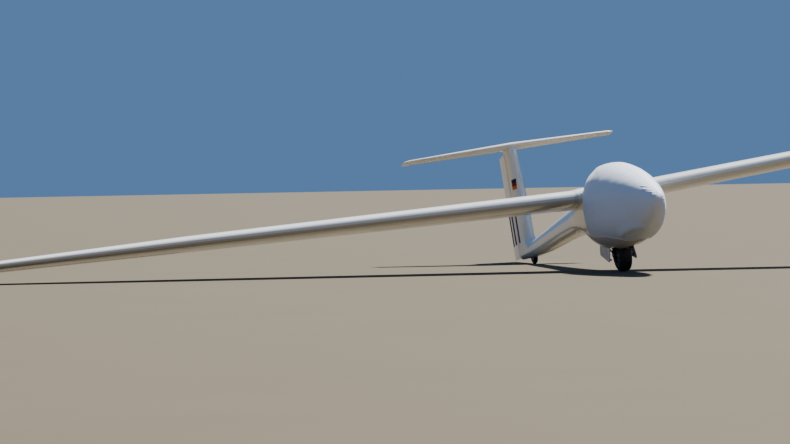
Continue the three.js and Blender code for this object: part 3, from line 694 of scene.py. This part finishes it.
def hem_turn(y):
    """The angle from the top at which the cloth ends."""
    _, _, bottom, wide = nose_section(y)
    share = np.clip((wide - hem_height(y)) / (wide - bottom), 0, 1)
    turn = math.pi / 2 + np.arcsin(share ** (1 / LOWER_POWER))
    return np.where(y < HEM[1, 0], math.pi, turn)


# Folds, drawn as ridges along a line over the nose
NOSE_MIDDLE = (0, 0, 0.05)
RIDGE_OUTWARD = (1, 0.1, 1)  # how much each way counts in the direction off the nose
RIDGE_FADE = 0.25  # the share of its length over which a ridge fades at each end
LINE_STOPS = 24  # points for each row of a line


def to_cover(line):
    """Points over the skin along a line given by rows of y and angle from the top."""
    line = np.array(line)
    stops = np.linspace(0, len(line) - 1, LINE_STOPS * len(line))
    y, turn = (np.interp(stops, np.arange(len(line)), line[:, i]) for i in (0, 1))
    return nose_point(y, turn, CLOTH_LIFT)


def ridge(points, path, height, wide, narrow, hollow=0.0, hollow_wide=1.0):
    """A rise along a path, wide on its left and narrow on its right, where a hollow may follow it."""
    gaps = np.linalg.norm(points[..., None, :] - path, axis=-1)
    nearest = gaps.argmin(-1)
    off = gaps.min(-1)
    heading = unit(np.gradient(path, axis=0))[nearest]
    outward = unit((points - NOSE_MIDDLE) * RIDGE_OUTWARD)
    left = np.sum(np.cross(outward, heading) * (points - path[nearest]), axis=-1) > 0
    share = nearest / (len(path) - 1)
    fade = smoothstep(0, RIDGE_FADE, share) * (1 - smoothstep(1 - RIDGE_FADE, 1, share))
    crest = np.exp(-((off / np.where(left, wide, narrow)) ** 2))
    dip = np.where(left, 0.0, (1 - crest) * np.exp(-((off / hollow_wide) ** 2)))
    return fade * (height * crest - hollow * dip)


# Folds as rows of y and angle from the top. The long one runs from the hem round the chin.
CHIN_FOLD = [
    (1.010, -2.470), (0.950, -2.420), (0.839, -2.382), (0.705, -2.352), (0.578, -2.378),
    (0.485, -2.478), (0.425, -2.605), (0.374, -2.875), (0.385, -3.120),
]
CHIN_FOLD_SHAPE = {
    "height": 0.0180, "wide": 0.050, "narrow": 0.0140, "hollow": 0.0065, "hollow_wide": 0.050,
}
# Creases above the nose tip, where the cloth is drawn together
TIP_CREASES = [
    [(0.305, -0.580), (0.241, -0.484), (0.196, -0.371), (0.140, -0.190)],
    [(0.235, -0.710), (0.168, -0.646), (0.124, -0.541), (0.070, -0.330)],
    [(0.165, -0.790), (0.104, -0.720), (0.063, -0.602), (0.028, -0.380)],
    [(0.110, -0.900), (0.049, -0.838), (0.024, -0.733), (0.006, -0.380)],
    [(0.085, -1.060), (0.030, -1.230), (0.013, -1.348), (0.002, -1.588)],
]
TIP_CREASE_SHAPE = {"height": 0.0042, "wide": 0.0065, "narrow": 0.0060}
# Looser pulls on the far side and over the canopy, where nothing holds the cloth down
SLACK_PULLS = [
    [(1.000, 2.520), (0.860, 2.400), (0.700, 2.330), (0.500, 2.380), (0.360, 2.620)],
    [(1.860, 0.520), (1.620, 0.640), (1.350, 0.900), (1.180, 1.250)],
    [(1.860, -0.300), (1.640, -0.420), (1.420, -0.640)],
    [(1.850, -1.250), (1.600, -1.420), (1.400, -1.640)],
    [(1.850, 1.450), (1.560, 1.580), (1.330, 1.800)],
]
SLACK_PULL_SHAPE = {"height": 0.0045, "wide": 0.045, "narrow": 0.022}
FOLD_SETS = (
    ([CHIN_FOLD], CHIN_FOLD_SHAPE), (TIP_CREASES, TIP_CREASE_SHAPE), (SLACK_PULLS, SLACK_PULL_SHAPE),
)


def drawn_folds(points):
    return sum(ridge(points, to_cover(line), **shape) for lines, shape in FOLD_SETS for line in lines)


# Pleats that fan out from the nose tip, and the distances from it at which they rise and fade. Each
# wave has a count round the tip and a twist: the fine pleats' sway, the fine and the coarse pleats.
FAN_HEIGHT = 0.0011
FAN_RISE = (0.02, 0.06)
FAN_FADE = (0.08, 0.26)
FAN_WAVES = ((3, 6), (31, 0), (19, -9))
SWAY = 2.2
COARSE_SHARE = 0.6


def nose_fan(points, turn):
    """Small pleats that fan out from the nose tip."""
    away = np.linalg.norm(points - nose_point(0, 0, 0), axis=-1)
    envelope = smoothstep(*FAN_RISE, away) * (1 - smoothstep(*FAN_FADE, away))
    sway, fine, coarse = (count * turn + twist * away for count, twist in FAN_WAVES)
    pleats = np.cos(fine + SWAY * np.sin(sway)) + COARSE_SHARE * np.cos(coarse)
    return FAN_HEIGHT * envelope * pleats


# The gathering beside an elastic edge: short waves close to it, longer ones further in
SHORT_PUCKERS = {"height": 0.0016, "reach": 0.035, "wander": 2.0, "wander_waves": 37}
LONG_PUCKERS = {"height": 0.0015, "reach": 0.12, "wander": 1.5, "wander_waves": 11}
SHORT_WAVES = 190
HEM_LONG_WAVES = 52
REAR_LONG_WAVES = 47
EDGE_REACH = 0.07  # how far from an edge the cloth is drawn down
SWELL_HEIGHT = 0.0018
SWELL_SCALE = 4.2
SWELL_NOISE = (0.9, 2.0, 3)  # its dimension, lacunarity and octaves


def puckers(away, along, waves, height, reach, wander, wander_waves):
    """Uneven waves along an edge, which die out away from it."""
    phase = along * waves + wander * np.sin(along * wander_waves)
    return height * np.exp(-away / reach) * np.sin(phase)


def edge_puckers(away, along, long_waves):
    short = puckers(away, along, SHORT_WAVES, **SHORT_PUCKERS)
    return short + puckers(away, along, long_waves, **LONG_PUCKERS)


def slack_lift(points):
    """Slow, uneven swells of the cloth."""
    places = points.reshape(-1, 3) * SWELL_SCALE
    swells = [noise.fractal(Vector(place), *SWELL_NOISE) for place in places]
    return SWELL_HEIGHT * np.reshape(swells, points.shape[:-1])


def cloth_lift(y, turn):
    """The height of the cloth's outer side off the skin, with its folds and puckers."""
    base = nose_point(y, turn, CLOTH_LIFT)
    half = nose_section(y)[0]
    to_hem = np.where(y < HEM[1, 0], 1.0, (hem_turn(y) - np.abs(turn)) * half)
    to_rear = COVER_END_Y - y
    loose = np.minimum(smoothstep(0, EDGE_REACH, to_hem), smoothstep(0, EDGE_REACH, to_rear))
    lift = HEM_LIFT + (CLOTH_LIFT - HEM_LIFT) * loose + edge_puckers(to_hem, y, HEM_LONG_WAVES)
    lift = lift + edge_puckers(to_rear, turn * half, REAR_LONG_WAVES)
    lift = lift + loose * drawn_folds(base) + nose_fan(base, turn)
    return np.maximum(lift + slack_lift(base), LEAST_LIFT)


def make_cover():
    y = crowded(NOSE_SECTIONS[0, 0], COVER_END_Y, COVER_ROWS, ROW_CROWDING)[:, None]
    turns = hem_turn(y) * np.linspace(-1, 1, COVER_COLUMNS + 1)
    points = nose_point(y, turns, cloth_lift(y, turns))
    faces = grid_faces(COVER_ROWS, COVER_COLUMNS + 1)
    cover = add_piece("cover_cloth", points.reshape(-1, 3), faces, CLOTH, "cloth")
    shell = cover.modifiers.new("cloth_thickness", "SOLIDIFY")
    shell.thickness = CLOTH_THICK
    shell.offset = -1
    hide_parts("canopy_cover")
    return cover


# The cover's hem

HEM_SEARCH = (HEM[1, 0], 1.2, 3000)
BELLY_TURN = math.pi - 0.001  # where the cloth ends short of this, it leaves the belly open
HEM_SIDE_STOPS = 400
HEM_CROWDING = 2
HEM_REAR_STOPS = 600
HEM_HALF_WIDE = 0.0095
HEM_HALF_THICK = 0.0036
HEM_STEP = 0.006
GATHER = {"length": 0.021, "rise": 0.0006, "swell": 0.06}
AXIS_HEIGHT = 0.09  # the line that the skin's outward direction is taken from


def hem_start():
    """The y where the two sides of the hem part on the belly."""
    y = np.linspace(*HEM_SEARCH)
    return y[np.argmax(hem_turn(y) < BELLY_TURN)]


def hem_line(inset=0.0):
    """The cloth's edge, from the belly up one side, over the top and down the other: y and angle."""
    start, end = hem_start(), COVER_END_Y - inset
    side_y = crowded(start, end, HEM_SIDE_STOPS, HEM_CROWDING)
    side_turn = hem_turn(side_y) - inset / nose_section(side_y)[0]
    rear_turn = np.linspace(side_turn[-1], -side_turn[-1], HEM_REAR_STOPS)
    y = np.concatenate([side_y, np.full(HEM_REAR_STOPS, end), side_y[::-1]])
    return y, np.concatenate([side_turn, rear_turn, -side_turn[::-1]])


def frames(path):
    """The direction along a line over the nose, across it, and out from the skin."""
    heading = unit(np.gradient(path, axis=0))
    ups = unit(path - path * (0, 1, 0) - (0, 0, AXIS_HEIGHT))
    ups = unit(ups - heading * np.sum(ups * heading, axis=1, keepdims=True))
    return heading, np.cross(heading, ups), ups


def make_hem():
    """A rolled hem with an elastic in it, which gathers it."""
    y, turn = hem_line()
    path, along = even_path(nose_point(y, turn, HEM_LIFT), HEM_STEP)
    _, sides, ups = frames(path)
    gather = np.sin(along * 2 * math.pi / GATHER["length"])
    path = path + ups * (GATHER["rise"] * gather)[:, None]
    wide = HEM_HALF_WIDE * (1 + GATHER["swell"] * gather)
    hem = swept(path, sides, ups, wide, HEM_HALF_THICK)
    return add_piece("cover_hem", *hem, HEM_CLOTH, "cloth")


# The seam that joins the cover's two halves, and the stitches beside it and along the hem

SEAM_Y = (0.030, COVER_END_Y - 0.012)
SEAM_ROWS = 260
SEAM_COLUMNS = 5
SEAM_CROWDING = 1.2
SEAM_HALF_WIDE = 0.011
SEAM_LIFTS = (0.0002, 0.0012)
SEAM_STITCH_Y = (0.040, COVER_END_Y - 0.02)
SEAM_STITCH_STOPS = 500
SEAM_STITCH_OFFSETS = (-0.0075, 0.0075)
HEM_STITCH_INSET = 0.016
STITCH_STEP = 0.008
STITCH_HALVES = (0.0024, 0.0007, 0.0006)
LEAST_HEIGHT = 0.02  # of the nose's section, where an offset is turned into an angle


def over_cloth(y, offset, lift):
    """Points on the cloth's outer side, a distance to the left of its middle line."""
    _, top, _, wide = nose_section(y)
    turn = offset / np.maximum(top - wide, LEAST_HEIGHT)
    return nose_point(y, turn, cloth_lift(y, turn) + lift)


def stitches(path):
    """A row of short raised threads along a line over the cloth."""
    path, _ = even_path(path, STITCH_STEP)
    ring = ((-1, -1), (1, -1), (1, 1), (-1, 1))
    corners = np.array([(end, *corner) for end in (-1, 1) for corner in ring]) * STITCH_HALVES
    points = path[:, None] + np.einsum("ci,ipk->pck", corners, np.stack(frames(path)))
    faces = closed_faces(2, len(ring))
    return joined([(thread, faces) for thread in points])


def make_seam():
    """The tape over the seam."""
    y = crowded(*SEAM_Y, SEAM_ROWS, SEAM_CROWDING)[:, None]
    offsets = np.linspace(-1, 1, SEAM_COLUMNS) * SEAM_HALF_WIDE
    tape = slab_between(*(over_cloth(y, offsets, lift) for lift in SEAM_LIFTS))
    return add_piece("cover_seam", *tape, HEM_CLOTH, "cloth")


def make_stitches():
    y = np.linspace(*SEAM_STITCH_Y, SEAM_STITCH_STOPS)
    rows = [stitches(over_cloth(y, offset, SEAM_LIFTS[1])) for offset in SEAM_STITCH_OFFSETS]
    hem_y, turn = hem_line(HEM_STITCH_INSET)
    rows.append(stitches(nose_point(hem_y, turn, cloth_lift(hem_y, turn))))
    return add_piece("cover_stitches", *joined(rows), THREAD, "cloth", smooth=False)


# The small hole at the nose tip: its rolled edge, and the knot of cloth that fills it

TIP_AT = np.array((0, -0.0115, 0.021))
TIP_RING_RADIUS = 0.0165
TIP_RING_ROLL = 0.0058
TIP_RING_PLEATS = {"sides": 48, "pleats": 9, "share": 0.22}
# The knot from its back to its front: distance ahead and radius
TIP_KNOT = np.array([
    (-0.0060, 0.0020), (-0.0050, 0.0070), (0.0000, 0.0092), (0.0045, 0.0118),
    (0.0090, 0.0112), (0.0125, 0.0078), (0.0138, 0.0040), (0.0128, 0.0012),
])
KNOT_PLEATS = {"sides": 56, "pleats": 7, "share": 0.11}
KNOT_TWIST = 90  # radians for each metre ahead


def pleated(radius, sides, pleats, share, turn=0.0):
    """A radius that swells and shrinks round a ring, turned by an angle."""
    return radius * (1 + share * np.cos(pleats * ring_angles(sides) + turn))


def make_tip_ring():
    """The rolled edge of the hole, drawn together by a thread."""
    outward = circle(TIP_RING_PLEATS["sides"], X, Z)
    roll = pleated(TIP_RING_ROLL, **TIP_RING_PLEATS)
    path = TIP_AT + outward * TIP_RING_RADIUS
    ring = swept(path, outward, np.broadcast_to(-Y, outward.shape), roll, roll)
    return add_piece("cover_tip_ring", *ring, HEM_CLOTH, "cloth")


def make_tip_knot():
    """The gathered end of the cloth, which fills the hole."""
    ahead, radius = TIP_KNOT[:, :1], TIP_KNOT[:, 1:]
    radius = pleated(radius, **KNOT_PLEATS, turn=KNOT_TWIST * ahead)[..., None]
    points = TIP_AT - ahead[..., None] * Y + radius * circle(KNOT_PLEATS["sides"], X, Z)
    faces = closed_faces(*points.shape[:2])
    return add_piece("cover_tip_knot", points.reshape(-1, 3), faces, HEM_CLOTH, "cloth")


cover = make_cover()
trims = [make_hem(), make_seam(), make_stitches(), make_tip_ring(), make_tip_knot()]

# Skins of the stubs and the fin, with the same columns as the wing's. The fin's holds for its rear
# half, beside the rudder.
STUB_TABLE = [(0.285, -0.008, 0.918, 0.189, -0.001), WING_TABLE[0]]
FIN_TABLE = [
    (0.070, 5.800, 1.090, 0.12, 0.0),
    (1.290, 5.800, 1.030, 0.11, 0.0),
]
# The tailplane's span, chord and thickness share
TAILPLANE_CHORDS = [(0.0, 0.530, 0.125), (1.160, 0.320, 0.120)]
TAILPLANE_INCIDENCE = math.radians(2.4)
# Where each hinge lies, as a share of the chord
AILERON_HINGE = 0.80
ELEVATOR_HINGE = 0.72
RUDDER_HINGE = 0.50
TRAILING_HALF = 0.0014
RING_STEPS = 15
RING_SHARES = np.append((1 + np.cos(np.pi * np.arange(RING_STEPS) / RING_STEPS)) / 2, 0)[::-1]


def thickness_at(x):
    """Half a four-digit aerofoil's thickness at a share of the chord, for a greatest thickness of 1."""
    return 5 * (0.2969 * np.sqrt(x) - 0.1260 * x - 0.3516 * x**2 + 0.2843 * x**3 - 0.1036 * x**4)


class Skin:
    """One lifting surface's outer skin, flat between the solid's own points."""

    def __init__(self, table, camber=0.0, incidence=0.0, origin=(0, 0, 0), upright=False):
        self.table, self.camber, self.incidence = np.array(table), camber, incidence
        self.origin, self.upright = np.array(origin), upright

    def section(self, row, shares, face):
        span, lead, chord, thick, rise = row
        half = chord * thick * thickness_at(RING_SHARES) + TRAILING_HALF * RING_SHARES
        mean = chord * 4 * self.camber * RING_SHARES * (1 - RING_SHARES)
        up = np.interp(shares, RING_SHARES, mean + face * half)
        along = chord * shares
        y = lead + along * math.cos(self.incidence) + up * math.sin(self.incidence)
        z = rise - along * math.sin(self.incidence) + up * math.cos(self.incidence)
        return np.stack([np.full_like(y, span), y, z], -1) + self.origin

    def chord(self, span):
        return np.interp(abs(span), self.table[:, 0], self.table[:, 2])

    def points(self, span, shares, face, side=1):
        """Points at shares of the chord on the upper (face 1) or lower (face -1) skin."""
        i = int(np.clip(np.searchsorted(self.table[:, 0], span) - 1, 0, len(self.table) - 2))
        near, far = self.table[i], self.table[i + 1]
        share = (span - near[0]) / (far[0] - near[0])
        inner, outer = (self.section(row, shares, face) for row in (near, far))
        found = (1 - share) * inner + share * outer
        if self.upright:
            return np.stack([-found[:, 2], found[:, 1], found[:, 0]], -1)
        return found * (side, 1, 1)


def tailplane_rows():
    """The tailplane's table, which keeps its hinge on one straight line."""
    ahead = ELEVATOR_HINGE * math.cos(TAILPLANE_INCIDENCE)
    above = ELEVATOR_HINGE * math.sin(TAILPLANE_INCIDENCE)
    return [
        (span, -ahead * chord, chord, thick, above * chord)
        for span, chord, thick in TAILPLANE_CHORDS
    ]


WING_SETTING = {"camber": 0.028, "incidence": math.radians(3.8), "origin": (0, WING_LEAD_Y, 0.300)}
WING_SKIN = Skin(WING_TABLE, **WING_SETTING)
STUB_SKIN = Skin(STUB_TABLE, **WING_SETTING)
TAILPLANE_SKIN = Skin(tailplane_rows(), incidence=TAILPLANE_INCIDENCE, origin=(0, 6.388, 1.288))
FIN_SKIN = Skin(FIN_TABLE, upright=True)

# Tape over each wing's joint with the fuselage: the skins and the spans that it lies over
ROOT_TAPE_STOPS = ((STUB_SKIN, 0.309), (WING_SKIN, WING_TABLE[0][0]), (WING_SKIN, 0.351))
TAPE_LIFTS = (0.0002, 0.0007)
UP_OR_DOWN = (0, 0.01, 1)  # the tape faces up or down, and forward only at the leading edge


def root_tape(side):
    """Tape round the whole aerofoil, half on the stub and half on the wing."""
    points = np.stack([
        np.vstack([
            skin.points(span, RING_SHARES[::-1], 1, side),
            skin.points(span, RING_SHARES[1:], -1, side),
        ])
        for skin, span in ROOT_TAPE_STOPS
    ])
    outward = (points - points.mean(axis=1, keepdims=True)) * UP_OR_DOWN
    return slab(points, outward, TAPE_LIFTS)


# Strips that close the gap ahead of each control, stuck on along their front edges
SEAL_REACH = (0.046, 0.004)  # from the hinge forward to the strip's front and rear edges
SEAL_ROWS = 60
SEAL_COLUMNS = 12
SEAL_LIFTS = (0.0007, 0.0012)
AILERON_SEAL_SPANS = (4.325, 6.995)
ELEVATOR_SEAL_SPANS = (0.085, 1.148)
RUDDER_SEAL_SPANS = (0.14, 1.20)


def seal_strip(skin, spans, hinge, face, outward, side=1):
    rows = []
    for span in np.linspace(*spans, SEAL_ROWS):
        back = np.linspace(*SEAL_REACH, SEAL_COLUMNS) / skin.chord(span)
        rows.append(skin.points(span, hinge - back, face, side))
    return slab(np.stack(rows), outward, SEAL_LIFTS)


def bend_with_rudder(strip):
    """Moves the strip's placement into its points. The strip rides on no body and stays where it is
    when the rudder turns.
    """
    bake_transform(strip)


def make_tapes():
    for name, side in SIDES:
        add_piece(f"root_tape_{name}", *root_tape(side), TAPE, "gelcoat")
        for face, place in ((1, "top"), (-1, "bottom")):
            for control, skin, spans, hinge in (
                ("aileron", WING_SKIN, AILERON_SEAL_SPANS, AILERON_HINGE),
                ("elevator", TAILPLANE_SKIN, ELEVATOR_SEAL_SPANS, ELEVATOR_HINGE),
            ):
                strip = seal_strip(skin, spans, hinge, face, (0, 0, face), side)
                add_piece(f"{control}_seal_{name}_{place}", *strip, TAPE, "gelcoat")
        strip = seal_strip(FIN_SKIN, RUDDER_SEAL_SPANS, RUDDER_HINGE, -side, (side, 0, 0))
        bend_with_rudder(add_piece(f"rudder_seal_{name}", *strip, TAPE, "gelcoat", body=None))


make_tapes()

# Matt films stuck on the fin and the rudder: the y and the heights that each lies between
PATCH_AREA = ((5.955, 6.125), (0.790, 0.908))
BAR_HEIGHTS = (0.195, 0.610)
FIN_BARS = ((6.165, 6.255),)
RUDDER_BARS = ((6.680, 6.820), (6.425, 6.560))
FILM_LIFTS = (0.0003, 0.0006)
FILM_ROWS = 14
FILM_COLUMNS = 34
CAST_FROM = 0.5  # how far out the search for a solid's side starts


def solid_tree(node):
    """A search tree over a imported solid."""
    mesh = NODES[node].data
    return BVHTree.FromPolygons([v.co for v in mesh.vertices], [p.vertices for p in mesh.polygons])


def on_side(tree, side, y, z):
    """The airframe point on a solid's left or right side, at y and z."""
    start = Vector(to_row((side * CAST_FROM, y, z)))
    distance = tree.ray_cast(start, -side * AXIS_X)[3]
    return side * (CAST_FROM - distance), y, z


def film(tree, area, side):
    """A thin sheet stuck on one side of a solid."""
    reach, heights = area
    points = np.array([
        [on_side(tree, side, y, z) for y in np.linspace(*reach, FILM_COLUMNS)]
        for z in np.linspace(*heights, FILM_ROWS)
    ])
    return slab(points, (side, 0, 0), FILM_LIFTS)


def make_films():
    fin, rudder = solid_tree("fuselage"), solid_tree("rudder")
    for name, side in SIDES:
        add_piece(f"fin_patch_{name}", *film(fin, PATCH_AREA, side), PATCH_FILM, "gelcoat")
        for place, tree, body, bars in (
            ("fin", fin, "airframe", FIN_BARS), ("rudder", rudder, "rudder_body", RUDDER_BARS),
        ):
            films = joined([film(tree, (reach, BAR_HEIGHTS), side) for reach in bars])
            add_piece(f"{place}_bars_{name}", *films, BAR_FILM, "gelcoat", body)


make_films()

# Tyres: half profiles of radius and distance from the middle, the grooves in the tread, and the
# radii of the raised ribs on the walls
MAIN_TYRE = [
    (0.066, 0.040), (0.098, 0.058), (0.134, 0.064), (0.160, 0.057), (0.172, 0.042), (0.177, 0.022),
    (0.178, 0),
]
MAIN_GROOVES = {"middles": (-0.027, -0.010, 0.010, 0.027), "half_wide": 0.0021, "deep": 0.0036}
MAIN_RIBS = (0.108, 0.146)
TAIL_TYRE = [(0.046, 0.017), (0.066, 0.024), (0.086, 0.024), (0.097, 0.014), (0.100, 0)]
TAIL_GROOVES = {"middles": (-0.0065, 0.0065), "half_wide": 0.0011, "deep": 0.0020}
TAIL_RIBS = (0.070,)
TYRE_SEGMENTS = 144
LINE_STEPS = 10
TREAD_STEPS = 23
RIB_HEIGHT = 0.0011
RIB_HALF_WIDE = 0.0013
RIB_EDGES = [side * (RIB_HALF_WIDE + slope) for side in (-1, 1) for slope in (-0.0002, 0.0004)]
# Shares of a groove's half width: its flat floor, where the floor ends, and the gap to the next point
GROOVE_FLOOR = 0.7
GROOVE_BREAK = 0.8
GROOVE_CLEAR = 1.3
TREAD_MARGIN = 4  # groove half widths from the last groove to the tread's edge


def smooth_line(rows):
    """A curve through the rows, and no further out than they are."""
    rows = np.array(rows, float)
    slopes = np.gradient(rows, axis=0)
    slopes[-1] = (0, rows[-1, 1] - rows[-2, 1])
    t = np.linspace(0, 1, LINE_STEPS, endpoint=False)[:, None]
    found = [curve(t, rows[i], rows[i + 1], slopes[i], slopes[i + 1]) for i in range(len(rows) - 1)]
    return np.vstack([*found, rows[-1:]])


def tread_line(line, grooves, tread_half):
    """The tread from one side to the other, with square grooves."""
    half = grooves["half_wide"]
    x = set(np.linspace(-tread_half, tread_half, TREAD_STEPS))
    for middle in grooves["middles"]:
        x = {value for value in x if abs(value - middle) > half * GROOVE_CLEAR}
        x |= {middle + half * share for share in (-1, -GROOVE_FLOOR, GROOVE_FLOOR, 1)}
    x = np.array(sorted(x))
    order = np.argsort(line[:, 1])
    radius = np.interp(np.abs(x), line[order, 1], line[order, 0])
    for middle in grooves["middles"]:
        radius = radius - grooves["deep"] * (np.abs(x - middle) < half * GROOVE_BREAK)
    return np.stack([radius, x], 1)


def tyre_profile(rows, grooves, ribs):
    """One side's wall with its raised ribs, the grooved tread, and the other side's wall."""
    line = smooth_line(rows)
    tread_half = max(grooves["middles"]) + TREAD_MARGIN * grooves["half_wide"]
    wall = line[line[:, 1] > tread_half]
    wall = wall[: np.argmax(wall[:, 0]) + 1]
    radii = np.sort(np.concatenate([wall[:, 0], [rib + edge for rib in ribs for edge in RIB_EDGES]]))
    x = np.interp(radii, wall[:, 0], wall[:, 1])
    for rib in ribs:
        x = x + RIB_HEIGHT * (np.abs(radii - rib) < RIB_HALF_WIDE)
    side = np.stack([radii, x], 1)
    return np.vstack([side * (1, -1), tread_line(line, grooves, tread_half), side[::-1]])


def make_tyre(node, body, rows, grooves, ribs, centre):
    points, faces = turned(tyre_profile(rows, grooves, ribs), centre, TYRE_SEGMENTS)
    tyre = add_piece(f"{node}_grooved", points, faces, RUBBER, "tread", body)
    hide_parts(node)


make_tyre("main_tyre", "main_wheel", MAIN_TYRE, MAIN_GROOVES, MAIN_RIBS, MAIN_AXLE_AT)
make_tyre("tail_tyre", "tail_wheel", TAIL_TYRE, TAIL_GROOVES, TAIL_RIBS, TAIL_AXLE_AT)

# Bolts of the hubs, the tyre's valve, and the screws along the airbrakes' caps

HUB_BOLT = {"ring": 0.041, "from_middle": 0.0325, "radius": 0.0062, "height": 0.0050, "sides": 6}
HUB_BOLTS = 6
TAIL_BOLT = {"ring": 0.031, "from_middle": 0.0143, "radius": 0.0034, "height": 0.0026, "sides": 6}
TAIL_BOLTS = 5
VALVE = {"ring": 0.0535, "from_middle": 0.0390, "radius": 0.0038, "height": 0.0150, "sides": 10}
CAP_SCREW = {"radius": 0.0036, "height": 0.0008, "sides": 14}
CAP_SCREW_SPANS = (1.80, 2.90, 12)
CAP_SHARE = 0.52  # where the cap lies, as a share of the chord
CAP_NORMAL = (0, 0.03, 1)
# A stud's rings: shares of its radius and of its height
STUD_LEVELS = ((1, 0), (1, 0.7), (0.82, 1))
STUD_ASIDE = (0.31, 0.95, 0.05)  # along no stud's normal, so that its corners can be set out from it


def stud(centre, normal, radius, height, sides):
    """A bolt head or low screw: a prism with a bevelled top."""
    normal = unit(np.array(normal, float))
    first = unit(np.cross(normal, STUD_ASIDE))
    ring = circle(sides, first, np.cross(normal, first))
    points = [centre + ring * radius * wide + normal * height * up for wide, up in STUD_LEVELS]
    return np.vstack(points), closed_faces(len(points), sides)


def wheel_stud(axle, side, angle, ring, from_middle, radius, height, sides):
    """A stud on one side of a wheel, at an angle that goes from aft to up."""
    centre = np.array(axle) + (side * from_middle, ring * math.cos(angle), ring * math.sin(angle))
    return stud(centre, (side, 0, 0), radius, height, sides)


def hub_bolts(axle, count, bolt):
    return [wheel_stud(axle, side, angle, **bolt) for _, side in SIDES for angle in ring_angles(count)]


def cap_screw(span, side):
    centre = WING_SKIN.points(span, np.array([CAP_SHARE]), 1, side)[0]
    return stud(centre, CAP_NORMAL, **CAP_SCREW)


def make_fasteners():
    valve = wheel_stud(MAIN_AXLE_AT, -1, math.pi / 2, **VALVE)
    main = joined([*hub_bolts(MAIN_AXLE_AT, HUB_BOLTS, HUB_BOLT), valve])
    add_piece("main_hub_bolts", *main, DARK_METAL, "dark_metal", "main_wheel")
    tail = joined(hub_bolts(TAIL_AXLE_AT, TAIL_BOLTS, TAIL_BOLT))
    add_piece("tail_hub_bolts", *tail, DARK_METAL, "dark_metal", "tail_wheel")
    for name, side in SIDES:
        screws = joined([cap_screw(span, side) for span in np.linspace(*CAP_SCREW_SPANS)])
        add_piece(f"cap_screws_{name}", *screws, BRIGHT_METAL, "bright_metal", f"airbrake_{name}_body")


make_fasteners()

# Stiffeners inside each gear door, placed by y from its middle and by height below its upper line:
# upright bars of one width and one upper end, and a rail between two corners
DOOR = {"across": 0.1215, "middle_y": 1.985, "z": -0.274, "lean": math.radians(8), "half_thick": 0.0035}
UPRIGHTS = ((-0.120, -0.118), (-0.015, -0.090), (0.090, -0.060))
UPRIGHT_HALF_WIDE = 0.006
UPRIGHT_TOP = -0.014
DOOR_RAIL = ((-0.185, -0.012), (0.185, -0.004))
BAR_DEEP = 0.005
BAR_BEVEL = 0.003
BAR_SUNK = 0.0005  # how far a bar's foot reaches into the door


def door_bar(side, low, high):
    """A raised bar with sloping sides on the door's inner face, between two corners in its plane."""
    foot = np.array([low, (high[0], low[1]), high, (low[0], high[1])])
    top = foot + np.sign(foot.mean(axis=0) - foot) * BAR_BEVEL
    y, z = np.vstack([foot, top]).T
    x = -side * (DOOR["half_thick"] + np.repeat((-BAR_SUNK, BAR_DEEP), len(foot)))
    lean = side * DOOR["lean"]
    across = x * math.cos(lean) - z * math.sin(lean) + side * DOOR["across"]
    height = x * math.sin(lean) + z * math.cos(lean) + DOOR["z"]
    return np.stack([across, y + DOOR["middle_y"], height], 1), closed_faces(2, len(foot))


def make_door_ribs():
    half = UPRIGHT_HALF_WIDE
    corners = [((y - half, low), (y + half, UPRIGHT_TOP)) for y, low in UPRIGHTS]
    for name, side in SIDES:
        bars = joined([door_bar(side, low, high) for low, high in (*corners, DOOR_RAIL)])
        add_piece(f"door_ribs_{name}", *bars, GELCOAT, "gelcoat", smooth=False)


make_door_ribs()

# Floor and light

FLOOR_RADIUS = 600.0
FLOOR_SIDES = 96
FLOOR_COLOURS = ((0.080, 0.060, 0.028), (0.093, 0.070, 0.034))
SKY_COLOUR = (0.24, 0.50, 1.00, 1.0)
SKY_STRENGTH = 0.40
SUN_COLOUR = (1.0, 0.96, 0.90)
SUN_STRENGTH = 11.5
SUN_ANGLE = math.radians(5)
SUN_FROM = Vector((0.33, 0.46, 0.82))


def make_stage():
    mesh = bpy.data.meshes.new("floor")
    rim = circle(FLOOR_SIDES, X, Y) * FLOOR_RADIUS
    mesh.from_pydata(rim.tolist(), [], [range(FLOOR_SIDES)])
    shader = Shader("floor_paint")
    colour = shader.mix(shader.noise(scale=0.6, detail=4.0), *FLOOR_COLOURS)
    mesh.materials.append(shader.set(color=colour, roughness=0.9))
    floor = add_object("floor", mesh)


def make_lights():
    world = bpy.data.worlds.new("studio")
    world.use_nodes = True
    background = world.node_tree.nodes["Background"]
    background.inputs["Color"].default_value = SKY_COLOUR
    background.inputs["Strength"].default_value = SKY_STRENGTH
    bpy.context.scene.world = world
    sun = bpy.data.lights.new("key", "SUN")
    sun.energy = SUN_STRENGTH
    sun.angle = SUN_ANGLE
    sun.color = SUN_COLOUR
    lamp = add_object("key", sun)
    lamp.rotation_mode = "QUATERNION"
    lamp.rotation_quaternion = SUN_FROM.to_track_quat("Z", "Y")


make_stage()
make_lights()
